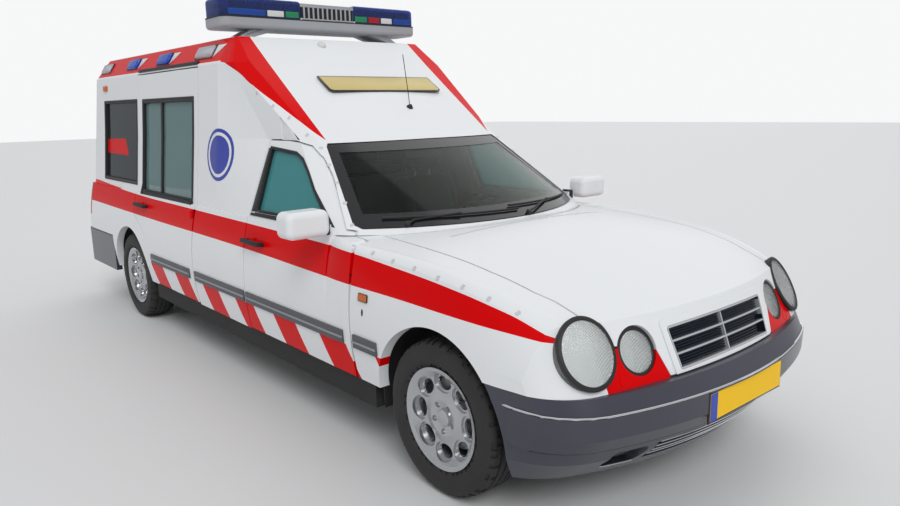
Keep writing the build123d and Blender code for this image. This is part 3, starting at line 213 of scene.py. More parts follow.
def disc(radius, depth, place, direction, bevel, vertices):
    """A turned disc, rod or cap that faces along direction, with rounded rims."""
    alone()
    turn = Vector(direction).to_track_quat("Z", "Y").to_euler()
    bpy.ops.mesh.primitive_cylinder_add(vertices=vertices, radius=radius, depth=depth, location=place,
                                        rotation=turn)
    obj = bpy.context.object
    edit(obj, "EDGE")
    choose(obj, lambda middle, edge: abs(edge.verts[0].co.z - edge.verts[1].co.z) < 1e-5
           and edge.calc_face_angle(0) > 1, "edges")
    bpy.ops.mesh.bevel(offset=bevel, segments=2, affect="EDGES", clamp_overlap=True)
    return alone(obj)


# %% [markdown]
# The camera stands where the photographer stood. Its place came from matching wheels,
# lamps and window corners; its lens is a moderate wide angle, held at eye height near
# the front right corner.

# %% Camera
CAMERA_STATION = (2.089, -2.545, 1.520)
CAMERA_TURN = (78.647, 1.254, 49.567)
CAMERA_LENS, FILM_WIDTH = 29.36, 36
camera_data = bpy.data.cameras.new("camera")
camera = bpy.data.objects.new("camera", camera_data)
bpy.context.scene.collection.objects.link(camera)
camera.location = (at(CAMERA_STATION[0]), *CAMERA_STATION[1:])
camera.rotation_euler = [radians(angle) for angle in CAMERA_TURN]
camera_data.lens = CAMERA_LENS
camera_data.sensor_width = FILM_WIDTH
bpy.context.scene.camera = camera
bpy.context.scene.view_settings.view_transform = "Standard"
print("camera at", camera.location)

# %% [markdown]
# A soft studio: an even pale world gives most of the light, one broad sun from the
# front right models the shapes, and a dimmer one fills from behind. Gloss needs
# something to mirror, so the world is a little darker low down, like a studio's wall.

# %% Light and floor
WORLD_LEVEL = 0.62
SKY_TOP = (0.98, 0.99, 1.0, 1)
SKY_WALL = (0.55, 0.57, 0.60, 1)
SKY_STOPS = ((0.02, SKY_WALL), (0.55, SKY_TOP))
BACKDROP = (0.93, 0.935, 0.94, 1)
FLOOR_SIZE, FLOOR_GREY, FLOOR_ROUGH = 90, (0.74, 0.745, 0.75, 1), 0.55
world = bpy.data.worlds.new("studio")
bpy.context.scene.world = world
world.use_nodes = True
nodes, links = world.node_tree.nodes, world.node_tree.links
nodes.clear()
direction = nodes.new("ShaderNodeTexCoord")
split = nodes.new("ShaderNodeSeparateXYZ")
ramp = nodes.new("ShaderNodeValToRGB")
for stop, (share, colour) in zip(ramp.color_ramp.elements, SKY_STOPS):
    stop.position = share
    stop.color = colour
light_shader = nodes.new("ShaderNodeBackground")
light_shader.inputs["Strength"].default_value = WORLD_LEVEL
backdrop_shader = nodes.new("ShaderNodeBackground")
backdrop_shader.inputs["Color"].default_value = BACKDROP
backdrop_shader.inputs["Strength"].default_value = 1.0
rays = nodes.new("ShaderNodeLightPath")
mix = nodes.new("ShaderNodeMixShader")
out = nodes.new("ShaderNodeOutputWorld")
links.new(direction.outputs["Generated"], split.inputs[0])
links.new(split.outputs["Z"], ramp.inputs[0])
links.new(ramp.outputs[0], light_shader.inputs["Color"])
links.new(rays.outputs["Is Camera Ray"], mix.inputs[0])
links.new(light_shader.outputs[0], mix.inputs[1])
links.new(backdrop_shader.outputs[0], mix.inputs[2])
links.new(mix.outputs[0], out.inputs[0])

SUNS = (("key", 1.25, 28, (48, 0, 62)), ("fill", 0.45, 60, (55, 0, -140)))
for name, strength, softness, turn in SUNS:
    lamp = bpy.data.lights.new(name, "SUN")
    lamp.energy = strength
    lamp.angle = radians(softness)
    lamp_object = bpy.data.objects.new(name, lamp)
    lamp_object.rotation_euler = [radians(angle) for angle in turn]
    bpy.context.scene.collection.objects.link(lamp_object)

alone()
bpy.ops.mesh.primitive_plane_add(size=FLOOR_SIZE, location=(0, 0, 0))
floor = bpy.context.object
floor.name = "floor"
floor_finish = bpy.data.materials.new("studio_floor")
floor_finish.use_nodes = True
floor_shader = floor_finish.node_tree.nodes["Principled BSDF"]
floor_shader.inputs["Base Color"].default_value = FLOOR_GREY
floor_shader.inputs["Roughness"].default_value = FLOOR_ROUGH
floor.data.materials.append(floor_finish)
floor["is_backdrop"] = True
print("suns", [name for name, *_ in SUNS])

# %% [markdown]
# No real finish is one flat colour. Enamel drifts a little in tone, plastics carry a
# fine grain, rubber is dusty. `surface` builds that once: a soft mottle moves the
# colour, a fine noise stands up as bump, and both read Object coordinates, so they
# keep their scale from piece to piece. Flutes and weaves are waves in the same bump.

# %% Finishes
GRAIN_HEIGHT = 0.001
WAVE_RATE = 20  # a wave node's phase runs this many times its scale


def bumped(finish, height, strength, distance):
    """Let a texture's output stand up as bump on the finish."""
    nodes, links = finish.node_tree.nodes, finish.node_tree.links
    bump = nodes.new("ShaderNodeBump")
    bump.inputs["Strength"].default_value = strength
    bump.inputs["Distance"].default_value = distance
    links.new(height, bump.inputs["Height"])
    links.new(bump.outputs["Normal"], nodes["Principled BSDF"].inputs["Normal"])


def waves(finish, direction, pitch, distortion, detail=2):
    """Bands of this pitch in Object coordinates; returns the texture's output."""
    nodes, links = finish.node_tree.nodes, finish.node_tree.links
    place = nodes.new("ShaderNodeTexCoord")
    wave = nodes.new("ShaderNodeTexWave")
    wave.bands_direction = direction
    wave.inputs["Scale"].default_value = 2 * pi / WAVE_RATE / pitch
    wave.inputs["Distortion"].default_value = distortion
    wave.inputs["Detail"].default_value = detail
    links.new(place.outputs["Object"], wave.inputs["Vector"])
    return wave.outputs["Fac"]


def surface(name, colour, rough=0.4, metal=0.0, mottle=0.05, mottle_scale=3.0, grain=0.0, grain_scale=400.0,
            rough_drift=0.0, **sockets):
    """A Principled finish whose colour drifts and whose grain is bump. Returns the material."""
    finish = bpy.data.materials.new(name)
    finish.use_nodes = True
    finish.diffuse_color = (*colour, 1)
    nodes, links = finish.node_tree.nodes, finish.node_tree.links
    shader = nodes["Principled BSDF"]
    shader.inputs["Roughness"].default_value = rough
    shader.inputs["Metallic"].default_value = metal
    for key, value in sockets.items():
        shader.inputs[key.replace("_", " ")].default_value = value
    place = nodes.new("ShaderNodeTexCoord")
    drift = nodes.new("ShaderNodeTexNoise")
    drift.inputs["Scale"].default_value = mottle_scale
    drift.inputs["Detail"].default_value = 4
    blend = nodes.new("ShaderNodeMix")
    blend.data_type = "RGBA"
    blend.name = "drift"
    blend.inputs["A"].default_value = (*[c * (1 - mottle) for c in colour], 1)
    blend.inputs["B"].default_value = (*[min(c * (1 + mottle), 1) for c in colour], 1)
    links.new(place.outputs["Object"], drift.inputs["Vector"])
    links.new(drift.outputs["Fac"], blend.inputs["Factor"])
    links.new(blend.outputs["Result"], shader.inputs["Base Color"])
    if rough_drift:
        spread = nodes.new("ShaderNodeMapRange")
        spread.inputs["To Min"].default_value = max(rough - rough_drift, 0)
        spread.inputs["To Max"].default_value = rough + rough_drift
        links.new(drift.outputs["Fac"], spread.inputs["Value"])
        links.new(spread.outputs["Result"], shader.inputs["Roughness"])
    if grain:
        fine = nodes.new("ShaderNodeTexNoise")
        fine.inputs["Scale"].default_value = grain_scale
        fine.inputs["Detail"].default_value = 3
        links.new(place.outputs["Object"], fine.inputs["Vector"])
        bumped(finish, fine.outputs["Fac"], grain, GRAIN_HEIGHT)
    return finish


WHITE = (0.80, 0.815, 0.83)
RED = (0.70, 0.0, 0.001)
ENAMEL_GLOSS = {"Specular_IOR_Level": 0.07, "Coat_Weight": 0.06, "Coat_Roughness": 0.03}
red_enamel = surface("red_enamel", RED, 0.25, **ENAMEL_GLOSS)
moulding = surface("anthracite_moulding", (0.040, 0.041, 0.060), 0.30, mottle=0.12, grain=0.15,
                   Coat_Weight=0.25, Coat_Roughness=0.2)
rubber = surface("black_rubber", (0.012, 0.012, 0.013), 0.55, grain=0.2, mottle=0.2)
gloss_black = surface("gloss_black", (0.012, 0.012, 0.014), 0.15, mottle=0.1)
underseal = surface("underseal", (0.018, 0.018, 0.018), 0.75, grain=0.8, grain_scale=120, mottle=0.3)
cast_iron = surface("cast_iron", (0.11, 0.11, 0.11), 0.6, 0.6, grain=0.6, grain_scale=200, mottle=0.2)
dull_steel = surface("dull_steel", (0.40, 0.38, 0.35), 0.42, 0.9, grain=0.2, mottle=0.25, rough_drift=0.1)
chrome = surface("bright_chrome", (0.78, 0.79, 0.81), 0.07, 1.0, mottle=0.02)
alloy = surface("silver_alloy", (0.50, 0.51, 0.53), 0.26, 0.85, mottle=0.05, grain=0.08, grain_scale=900,
                Coat_Weight=0.3)
disc_steel = surface("disc_steel", (0.30, 0.29, 0.28), 0.35, 1.0, mottle=0.15)
tyre_rubber = surface("tyre_rubber", (0.022, 0.021, 0.021), 0.68, mottle=0.3, mottle_scale=9, grain=0.35,
                      grain_scale=700)
clear_lens = surface("clear_lens", (0.96, 0.98, 0.98), 0.03, mottle=0.01, Transmission_Weight=1.0, IOR=1.3)
screen_glass = surface("screen_glass", (0.45, 0.52, 0.45), 0.02, mottle=0.01, Transmission_Weight=1.0,
                       IOR=1.2, Specular_IOR_Level=0.2)
door_glass = surface("door_glass", (0.10, 0.46, 0.48), 0.02, mottle=0.05, Transmission_Weight=0.55, IOR=1.3)
cool_glass = surface("load_space_glass", (0.30, 0.47, 0.47), 0.03, mottle=0.05, Transmission_Weight=0.6,
                     IOR=1.3)
dark_glass = surface("dark_glass", (0.035, 0.05, 0.055), 0.03, mottle=0.05, Transmission_Weight=0.6, IOR=1.4)
blue_lens = surface("blue_lens", (0.03, 0.13, 0.62), 0.06, mottle=0.08, Transmission_Weight=0.55, IOR=1.4)
red_lens = surface("red_lens", (0.55, 0.01, 0.01), 0.08, mottle=0.06, Transmission_Weight=0.3)
amber_lens = surface("amber_lens", (0.75, 0.16, 0.01), 0.1, mottle=0.06, Transmission_Weight=0.3)
green_lens = surface("green_lens", (0.02, 0.33, 0.12), 0.1, mottle=0.06, Transmission_Weight=0.3)
white_lens = surface("white_lens", (0.82, 0.83, 0.80), 0.12, mottle=0.03, Transmission_Weight=0.2)
mirror_silver = surface("mirror_silver", (0.85, 0.86, 0.88), 0.03, 1.0, mottle=0.01)
grey_moulding = surface("grey_moulding", (0.36, 0.37, 0.39), 0.4, mottle=0.06, grain=0.1)
cabin_plastic = surface("cabin_plastic", (0.030, 0.031, 0.034), 0.6, mottle=0.15, grain=0.7, grain_scale=500)
pale_lining = surface("pale_lining", (0.55, 0.55, 0.53), 0.7, mottle=0.05, grain=0.3, grain_scale=260)
laminate = surface("pale_laminate", (0.62, 0.63, 0.61), 0.35, mottle=0.03, Coat_Weight=0.2)
plate_yellow = surface("plate_yellow", (0.95, 0.56, 0.0), 0.35, mottle=0.03, grain=0.1,
                       Specular_IOR_Level=0.15)
plate_blue = surface("plate_blue", (0.01, 0.05, 0.42), 0.35, mottle=0.03)
roundel_blue = surface("roundel_blue", (0.03, 0.05, 0.38), 0.25, mottle=0.05, Coat_Weight=0.4)
sign_gold = surface("sign_gold", (0.62, 0.50, 0.20), 0.38, 0.25, mottle=0.06, grain=0.25, grain_scale=1500)
plain_white = surface("plain_white", WHITE, 0.2, mottle=0.02, Coat_Weight=0.5, Coat_Roughness=0.04)
stud_grey = surface("stud_grey", (0.62, 0.63, 0.66), 0.3, 0.2, mottle=0.05)
print("finishes", len(bpy.data.materials))

# %% [markdown]
# The stripes are painted, not stuck on, so they belong in the enamel's material. Each
# stripe is a small formula of Object coordinates that gives 1 inside and 0 outside.
# Curve nodes hold the edges of the long side band, which droops towards the lamps, and
# the outer edges of the roof's horns.
# Paint shops mask exactly like this: height against station.

# %% Masks for the painted stripes
class Masks:
    """Small node sums on Object coordinates; values are sockets or plain numbers."""

    def __init__(self, finish):
        self.nodes, self.links = finish.node_tree.nodes, finish.node_tree.links
        place = self.nodes.new("ShaderNodeTexCoord")
        split = self.nodes.new("ShaderNodeSeparateXYZ")
        self.links.new(place.outputs["Object"], split.inputs[0])
        self.x, self.y, self.z = split.outputs
        self.width = self.math("ABSOLUTE", self.y)
        self.station = self.math("SUBTRACT", self.x, FRONT_AXLE)

    def math(self, kind, *values):
        node = self.nodes.new("ShaderNodeMath")
        node.operation = kind
        for socket, value in zip(node.inputs, values):
            if isinstance(value, (int, float)):
                socket.default_value = value
            else:
                self.links.new(value, socket)
        return node.outputs[0]

    def between(self, value, low, high):
        return self.all(self.math("GREATER_THAN", value, low), self.math("LESS_THAN", value, high))

    def all(self, *masks):
        result = masks[0]
        for mask in masks[1:]:
            result = self.math("MULTIPLY", result, mask)
        return result

    def any(self, *masks):
        result = masks[0]
        for mask in masks[1:]:
            result = self.math("MAXIMUM", result, mask)
        return result

    def curve(self, value, points, low, high):
        """A smooth curve through (value, height) points; heights lie between low and high."""
        first, last = points[0][0], points[-1][0]
        share = self.nodes.new("ShaderNodeMapRange")
        share.inputs["From Min"].default_value = first
        share.inputs["From Max"].default_value = last
        self.links.new(value, share.inputs["Value"])
        node = self.nodes.new("ShaderNodeFloatCurve")
        line = node.mapping.curves[0]
        while len(line.points) < len(points):
            line.points.new(0.5, 0.5)
        for point, (along, height) in zip(line.points, points):
            point.location = ((along - first) / (last - first), (height - low) / (high - low))
        node.mapping.update()
        self.links.new(share.outputs["Result"], node.inputs["Value"])
        return self.math("MULTIPLY_ADD", node.outputs[0], high - low, low)

    def paint(self, shader_input, under, colour, mask):
        """Colour over what feeds shader_input, where the mask is 1."""
        mix = self.nodes.new("ShaderNodeMix")
        mix.data_type = "RGBA"
        mix.clamp_factor = True
        self.links.new(mask, mix.inputs["Factor"])
        self.links.new(under, mix.inputs["A"])
        mix.inputs["B"].default_value = (*colour, 1)
        self.links.new(mix.outputs["Result"], shader_input)


# %% [markdown]
# The vehicle's enamel: white, with the long red band along the sides, the red chamfer
# of the roof with its two red horns down to the windscreen, and red and white chevrons
# low on the doors. One material serves all body panels, so every stripe runs on from
# panel to panel without a break.

# %% Body enamel with its stripes
BAND_TOP = [(-4.40, 0.985), (-3.39, 0.942), (-2.33, 0.930), (-1.16, 0.920), (-0.65, 0.911), (-0.27, 0.884),
            (0.06, 0.858), (0.29, 0.824), (0.47, 0.771), (0.56, 0.727)]
BAND_BOTTOM = [(-4.40, 0.815), (-3.10, 0.800), (-1.60, 0.790), (-0.63, 0.771), (-0.10, 0.765),
               (0.31, 0.753), (0.43, 0.745), (0.56, 0.727)]
BAND_RANGE, SIDE_WIDTH = (0.7, 1.0), 0.60
ROOF_EDGE_Z, ROOF_CREASE_Z, CHAMFER_WIDTH = 1.800, 1.932, 0.62
HORN_OUTER = [(1.362, 0.570), (1.428, 0.613), (1.549, 0.667), (1.648, 0.707), (1.720, 0.722), (1.800, 0.745),
              (1.960, 0.745)]
HORN_INNER, HORN_STATION, HORN_TOP, HORN_RANGE = 0.568, -2.03, 1.952, (0.5, 0.8)
CHEVRON_TOP, CHEVRON_BOTTOM = 0.492, 0.325
CHEVRON_FRONT, CHEVRON_REAR = -0.27, -3.13
CHEVRON_PITCH, CHEVRON_SLANT = 0.459, 0.62

enamel = surface("white_enamel", WHITE, 0.25, mottle=0.015, mottle_scale=1.5, **ENAMEL_GLOSS)
masks = Masks(enamel)
station, width, height = masks.station, masks.width, masks.z
on_side = masks.math("GREATER_THAN", width, SIDE_WIDTH)
side_band = masks.all(
    masks.math("GREATER_THAN", height, masks.curve(station, BAND_BOTTOM, *BAND_RANGE)),
    masks.math("LESS_THAN", height, masks.curve(station, BAND_TOP, *BAND_RANGE)),
    on_side,
)
rear_band = masks.all(
    masks.between(height, BAND_BOTTOM[0][1], BAND_TOP[0][1]),
    masks.math("LESS_THAN", station, BAND_TOP[0][0]),
)
chamfer = masks.all(
    masks.between(height, ROOF_EDGE_Z, ROOF_CREASE_Z),
    masks.math("GREATER_THAN", width, CHAMFER_WIDTH),
)
horn = masks.all(
    masks.between(width, HORN_INNER, masks.curve(height, HORN_OUTER, *HORN_RANGE)),
    masks.math("GREATER_THAN", station, HORN_STATION),
    masks.between(height, HORN_OUTER[0][0], HORN_TOP),
)
slant = masks.math("MULTIPLY_ADD", height, CHEVRON_SLANT, -CHEVRON_REAR - CHEVRON_TOP * CHEVRON_SLANT)
beat = masks.math("FRACT", masks.math("DIVIDE", masks.math("ADD", station, slant), CHEVRON_PITCH))
chevrons = masks.all(
    masks.math("LESS_THAN", beat, 0.5),
    masks.between(height, CHEVRON_BOTTOM, CHEVRON_TOP),
    masks.between(station, CHEVRON_REAR, CHEVRON_FRONT),
    on_side,
)
enamel_shader = enamel.node_tree.nodes["Principled BSDF"]
masks.paint(enamel_shader.inputs["Base Color"], enamel.node_tree.nodes["drift"].outputs["Result"], RED,
            masks.any(side_band, rear_band, chamfer, horn, chevrons))
print("stripes painted with", len(enamel.node_tree.nodes), "nodes")

# %% [markdown]
# The carried-over CAD pieces only change their finish. Glass, enamel, mouldings and
# metal go to the nodes by name; the grille's own finish comes with the nose.

# %% Finish of the frame's own pieces
def pairs(*stems):
    """Each stem's node names on both sides."""
    return [f"{stem}_{word}" for stem in stems for word, _ in SIDES]


def of_wheels(stem):
    """The stem's node names on all four wheels."""
    return [f"{stem}_{name}" for name, *_ in WHEELS]


NODE_FINISH = {
    enamel: ["windscreen_frame", "roof", "bonnet", "tailgate",
             *pairs("wing", "side_panel", "front_door", "rear_door", "door_mirror")],
    red_enamel: ["nose_panels"],
    moulding: ["front_bumper", "rear_bumper"],
    underseal: ["underbody", "front_suspension", "rear_axle", *pairs("knuckle")],
    cast_iron: ["engine"],
    dull_steel: ["exhaust"],
    clear_lens: ["headlamps"],
    red_lens: ["tail_lamps"],
    screen_glass: ["windscreen"],
    door_glass: pairs("front_glass"),
    cool_glass: pairs("rear_glass"),
    dark_glass: ["quarter_windows", "tailgate_glass"],
    blue_lens: ["lightbar_lenses", "side_beacons"],
    cabin_plastic: ["dashboard", "steering_wheel", "front_seats", "attendant_seat"],
    grey_moulding: ["lightbar", "bulkhead"],
    laminate: ["cabinet"],
    tyre_rubber: of_wheels("tyre"),
    alloy: of_wheels("rim"),
}
for finish, names in NODE_FINISH.items():
    for name in names:
        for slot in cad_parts[name].material_slots:
            slot.material = finish
print("finished", sum(len(names) for names in NODE_FINISH.values()), "frame pieces")

# %% [markdown]
# Tyres, lenses, seals, caps and bolts are all turned shapes. A turner would cut them
# ring by ring, and that is how they are made here: a circle is extruded from ring to
# ring and scaled to each ring's radius. `faced` then carries the shape from the lathe's
# axis to its place on the vehicle.

# %% Lathe helpers
def turned(profile, vertices=64, closed=False):
    """A turned shape about Z from (radius, height) rings. Radius 0 closes a pole; closed joins
    the last ring to the first."""
    alone()
    (radius, height), *rings = profile
    bpy.ops.mesh.primitive_circle_add(vertices=vertices, radius=radius, location=(0, 0, height))
    obj = bpy.context.object
    bpy.ops.object.transform_apply(location=True)
    edit(obj, "EDGE")
    for next_radius, next_height in rings:
        bpy.ops.mesh.extrude_region_move(TRANSFORM_OT_translate={"value": (0, 0, next_height - height)})
        if next_radius:
            share = next_radius / radius
            bpy.ops.transform.resize(value=(share, share, 1), center_override=(0, 0, next_height))
            radius = next_radius
        else:
            bpy.ops.mesh.merge(type="CENTER")
        height = next_height
    bpy.ops.mesh.select_all(action="SELECT")
    bpy.ops.mesh.remove_doubles(threshold=1e-5)
    if not closed:
        bpy.ops.mesh.fill_holes(sides=0)
    return alone(obj)


def facing(place, direction, across=None):
    """The matrix that carries the lathe's Z axis to direction at place, with its X axis along across."""
    if across is None:
        return Matrix.Translation(place) @ Vector(direction).to_track_quat("Z", "Y").to_matrix().to_4x4()
    out, right = Vector(direction).normalized(), Vector(across).normalized()
    turn = Matrix((right, out.cross(right), out)).transposed()
    return Matrix.Translation(place) @ turn.to_4x4()


def faced(obj, place, direction, across=None, stretch=1.0):
    """Carry obj from the lathe to its place; stretch lengthens its Y axis first."""
    obj.data.transform(facing(place, direction, across) @ Matrix.Scale(stretch, 4, (0, 1, 0)))
    return obj


# %% [markdown]
# A road tyre: two bead seats, bulging walls, square shoulders and a lightly crowned tread
# with four grooves right round. The shoulder ribs are cut into blocks by sinking every
# third face of their rings. One tyre is made and copied to the four wheels.

# %% Tyres with tread
TYRE_R, TYRE_HALF = 0.318, 0.1015
GROOVES, GROOVE_DEEP, GROOVE_HALF = (-0.050, -0.018, 0.018, 0.050), 0.007, 0.0045
TREAD_BLOCKS, FACES_A_BLOCK, SIPE_DEEP, SIPE_FROM, SIPE_TO = 42, 3, 0.005, 0.055, 0.088
CROWN_DROP, TREAD_EDGE = 0.004, 0.08
tread = []
for middle in GROOVES:
    for step, sunk in ((-1, 0), (-0.7, GROOVE_DEEP), (0.7, GROOVE_DEEP), (1, 0)):
        across = middle + step * GROOVE_HALF
        tread.append((TYRE_R - CROWN_DROP * (across / TREAD_EDGE) ** 2 - sunk, across))
shoulder = [(0.3135, 0.072), (0.310, 0.082), (0.300, 0.0925)]
wall = [(0.284, 0.0985), (0.262, TYRE_HALF), (0.241, 0.0985), (0.236, 0.0995), (0.231, 0.0975),
        (0.222, 0.0905), (0.210, 0.0835)]
outer_half = shoulder + wall
inner_half = [(radius, -across) for radius, across in reversed(outer_half)]
tyre = turned(inner_half + tread + outer_half, TREAD_BLOCKS * FACES_A_BLOCK, closed=True)


def on_sipe(middle, normal):
    """True on the shoulder faces that are cut away between two tread blocks."""
    turn = (pi + Vector((1, 0)).angle_signed(middle.xy)) / (2 * pi)
    step = int(turn * TREAD_BLOCKS * FACES_A_BLOCK)
    return SIPE_FROM < abs(middle.z) < SIPE_TO and step % FACES_A_BLOCK == 0


edit(tyre)
print("sipes", choose(tyre, on_sipe))
bpy.ops.mesh.extrude_region_shrink_fatten(TRANSFORM_OT_shrink_fatten={"value": -SIPE_DEEP})
alone()
tyre_low, tyre_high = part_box("tyre_front_left")
TYRE_Y = (tyre_low.y + tyre_high.y) / 2
for name, station, side in WHEELS:
    fitted_tyre = copied(tyre, facing((at(station), side * TYRE_Y, AXLE_Z), (0, side, 0)))
    settle(fitted_tyre, f"tread_{name}", f"wheel_{name}", tyre_rubber, smooth=50)
    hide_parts(f"tyre_{name}")
bpy.data.objects.remove(tyre)
print("tyres of", TREAD_BLOCKS, "blocks")

# %% [markdown]
# Behind each pierced wheel sits a brake disc, and on its face a cap, five bolts and a
# valve. A bolt head is a six-sided turned shape, so the same lathe makes it.

# %% Wheel fittings
HUB_FACE, DISC_FACE = RIM_FACE - 0.020, 0.762
BOLTS, BOLT_CIRCLE, BOLT_R, BOLT_START, BOLT_SINK = 5, 0.056, 0.0095, 18, 0.007
DISC_R, DISC_BELL_R, DISC_THICK = 0.138, 0.078, 0.022
VALVE_CIRCLE, VALVE_TURN, VALVE_LEAN = 0.178, radians(40), Vector((0.25, 0, 0.2))
WHEEL_CAP = [(0.0345, -0.014), (0.0345, 0.0015), (0.032, 0.004), (0.029, 0.0045), (0.0275, 0.003),
             (0.024, 0.0035), (0.012, 0.005), (0, 0.0055)]
BOLT = [(BOLT_R, -0.008), (BOLT_R, 0.001), (BOLT_R * 0.85, 0.003), (BOLT_R * 0.5, 0.003),
        (BOLT_R * 0.45, 0.001), (0, 0.001)]
VALVE = [(0.0045, -0.02), (0.0045, 0.004), (0.0035, 0.006), (0.0035, 0.016), (0.0042, 0.016),
         (0.0042, 0.024), (0.003, 0.026), (0, 0.026)]
BRAKE_DISC = [(DISC_BELL_R, 0), (DISC_R, 0), (DISC_R, -DISC_THICK), (DISC_BELL_R, -DISC_THICK)]


def on_circle(turn, radius):
    """The step from a wheel's middle to this angle on a circle."""
    return Vector((cos(turn), 0, sin(turn))) * radius


for name, station, side in WHEELS:
    hub = Vector((at(station), side * HUB_FACE, AXLE_Z))
    out = Vector((0, side, 0))
    body = f"wheel_{name}"
    settle(faced(turned(WHEEL_CAP, 48), hub, out), f"wheel_cap_{name}", body, alloy)
    bolts = []
    for number in range(BOLTS):
        place = hub + on_circle(radians(BOLT_START + 360 / BOLTS * number), BOLT_CIRCLE)
        bolts.append(faced(turned(BOLT, 6), place - out * BOLT_SINK, out))
    settle(join(bolts), f"wheel_bolts_{name}", body, dull_steel)
    face = Vector((at(station), side * DISC_FACE, AXLE_Z))
    settle(faced(turned(BRAKE_DISC, 64, closed=True), face, out), f"brake_disc_{name}", body, disc_steel)
    stem = faced(turned(VALVE, 12), hub + on_circle(VALVE_TURN, VALVE_CIRCLE), out - VALVE_LEAN)
    settle(stem, f"valve_{name}", body, rubber)
print("wheels dressed:", len(WHEELS))

# %% [markdown]
# Each lamp is an oval unit: a fluted glass dome, a bright bowl behind it, a bulb and a
# soft black seal that hides the joint with the wing. The CAD block has the right outer
# form but is solid, so the glass takes its place. Everything is turned as a circle and
# stretched to an oval as it is put in place. The flutes are a wave in the glass's bump.

# %% Headlamps
HEADLAMPS = (
    ("main", 0.596, 0.691, 0.698, 0.112, 0.126, 28, 13),
    ("inner", 0.634, 0.482, 0.664, 0.083, 0.086, 24, 9),
)
LENS_R, LENS_APEX, LENS_RINGS, LAMP_VERTICES = 0.42, 0.012, 9, 72
SEAL_WIDTH, GLASS_THICK, BOWL_THICK, FLUTE_PITCH = 0.011, 0.003, 0.002, 0.0062
BOWL_SHARES = [(0.89, -0.016), (0.80, -0.030), (0.62, -0.048), (0.40, -0.060), (0.20, -0.066)]
BOWL_HOLE = [(0.0115, -0.072), (0.0108, -0.077)]
BULB = [(0.010, -0.078), (0.010, -0.058), (0.008, -0.056), (0.0075, -0.036), (0.006, -0.031), (0, -0.029)]


def dome(radius):
    """Height of the lamp's domed face at this radius, over the lamp's centre plane."""
    return LENS_APEX - LENS_R + (LENS_R ** 2 - radius ** 2) ** 0.5


fluted_glass = surface("fluted_glass", (0.96, 0.98, 0.97), 0.05, mottle=0.02, Transmission_Weight=0.96,
                       IOR=1.25)
bumped(fluted_glass, waves(fluted_glass, "Y", FLUTE_PITCH, 0.6, 0), 0.5, 0.0015)
bowl_silver = surface("bowl_silver", (0.90, 0.91, 0.92), 0.30, 0.45, mottle=0.10, mottle_scale=12)


def headlamp(name, station, half, height, wide, upright, lean, turn):
    """A lamp and its twin: middle's place, half width and height, degrees leant back and turned out."""
    lean, turn = radians(lean), radians(turn)
    forward = Vector((cos(lean) * cos(turn), -cos(lean) * sin(turn), sin(lean)))
    across = Vector((-sin(turn), -cos(turn), 0))
    centre = Vector((at(station), -half, height))

    def oval(rings, closed=False):
        return faced(turned(rings, LAMP_VERTICES, closed), centre, forward, across, upright / wide)

    def at_share(share, depth):
        """A ring at a share of the lamp's half width, this far behind the dome there."""
        return wide * share, dome(wide * share) - depth

    edge = wide - SEAL_WIDTH
    radii = [edge * (1 - number / LENS_RINGS) for number in range(LENS_RINGS)]
    glass = oval([(radius, dome(radius)) for radius in radii] + [(0, LENS_APEX)])
    edit(glass)
    choose(glass, lambda middle, normal: normal.dot(forward) < -0.5)
    bpy.ops.mesh.delete(type="FACE")
    modify(glass, "SOLIDIFY", thickness=GLASS_THICK, offset=-1)
    lens, lens_twin = both_sides(glass, f"lamp_glass_{name}", "root", fluted_glass)
    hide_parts("headlamps")

    edge += 0.001
    seal = [(edge, dome(edge) - 0.004), (edge - 0.001, dome(edge) + 0.002),
            (edge + 0.002, dome(edge) + 0.0045), (wide + 0.001, dome(wide) + 0.0045),
            (wide + 0.004, dome(wide) + 0.001), (wide + 0.003, dome(wide) - 0.012),
            (edge, dome(edge) - 0.012)]
    both_sides(oval(seal, closed=True), f"lamp_seal_{name}", "root", rubber)

    mouth = (wide * 0.90, dome(wide) - 0.004)
    bowl = oval([mouth] + [(wide * share, depth) for share, depth in BOWL_SHARES] + BOWL_HOLE)
    edit(bowl)
    choose(bowl, lambda middle, normal: normal.dot(forward) > 0.9 and (middle - centre).dot(forward) > -0.02)
    bpy.ops.mesh.delete(type="FACE")
    modify(bowl, "SOLIDIFY", thickness=BOWL_THICK, offset=1)
    both_sides(bowl, f"lamp_bowl_{name}", "root", bowl_silver)
    both_sides(faced(turned(BULB, 24), centre, forward), f"lamp_bulb_{name}", "root", white_lens)
    rim = [at_share(0.90, 0.004), at_share(0.90, 0.020), at_share(0.82, 0.030), at_share(0.84, 0.012)]
    both_sides(oval(rim, closed=True), f"lamp_rim_{name}", "root", chrome)


for row in HEADLAMPS:
    headlamp(*row)
print("lamps", [row[0] for row in HEADLAMPS])

# %% [markdown]
# Seals, strips and covers lie on panels that are curved two ways. Each one starts as a
# flat outline beside the vehicle, is cut into a fine net, is projected onto its panel
# and then thickened. Six directions are enough: from the side, the front, behind, above,
# and from inside the doors and below the roof. What needs no panel starts on the workbench.

# %% Sheets that follow a panel
AISLE_Y, UNDER_ROOF = -0.2, 1.2
FROM_SIDE = facing((FRONT_AXLE, BESIDE, 0), RIGHT, FORWARD)
FROM_INSIDE = facing((FRONT_AXLE, AISLE_Y, 0), LEFT, BACKWARD)
FROM_FRONT = facing((AHEAD, 0, 0), FORWARD, LEFT)
FROM_BEHIND = facing((BEHIND, 0, 0), BACKWARD, RIGHT)
FROM_ABOVE = facing((FRONT_AXLE, 0, ABOVE), UP, FORWARD)
FROM_BELOW = facing((FRONT_AXLE, 0, UNDER_ROOF), DOWN, FORWARD)
WORKBENCH = Matrix.Identity(4)


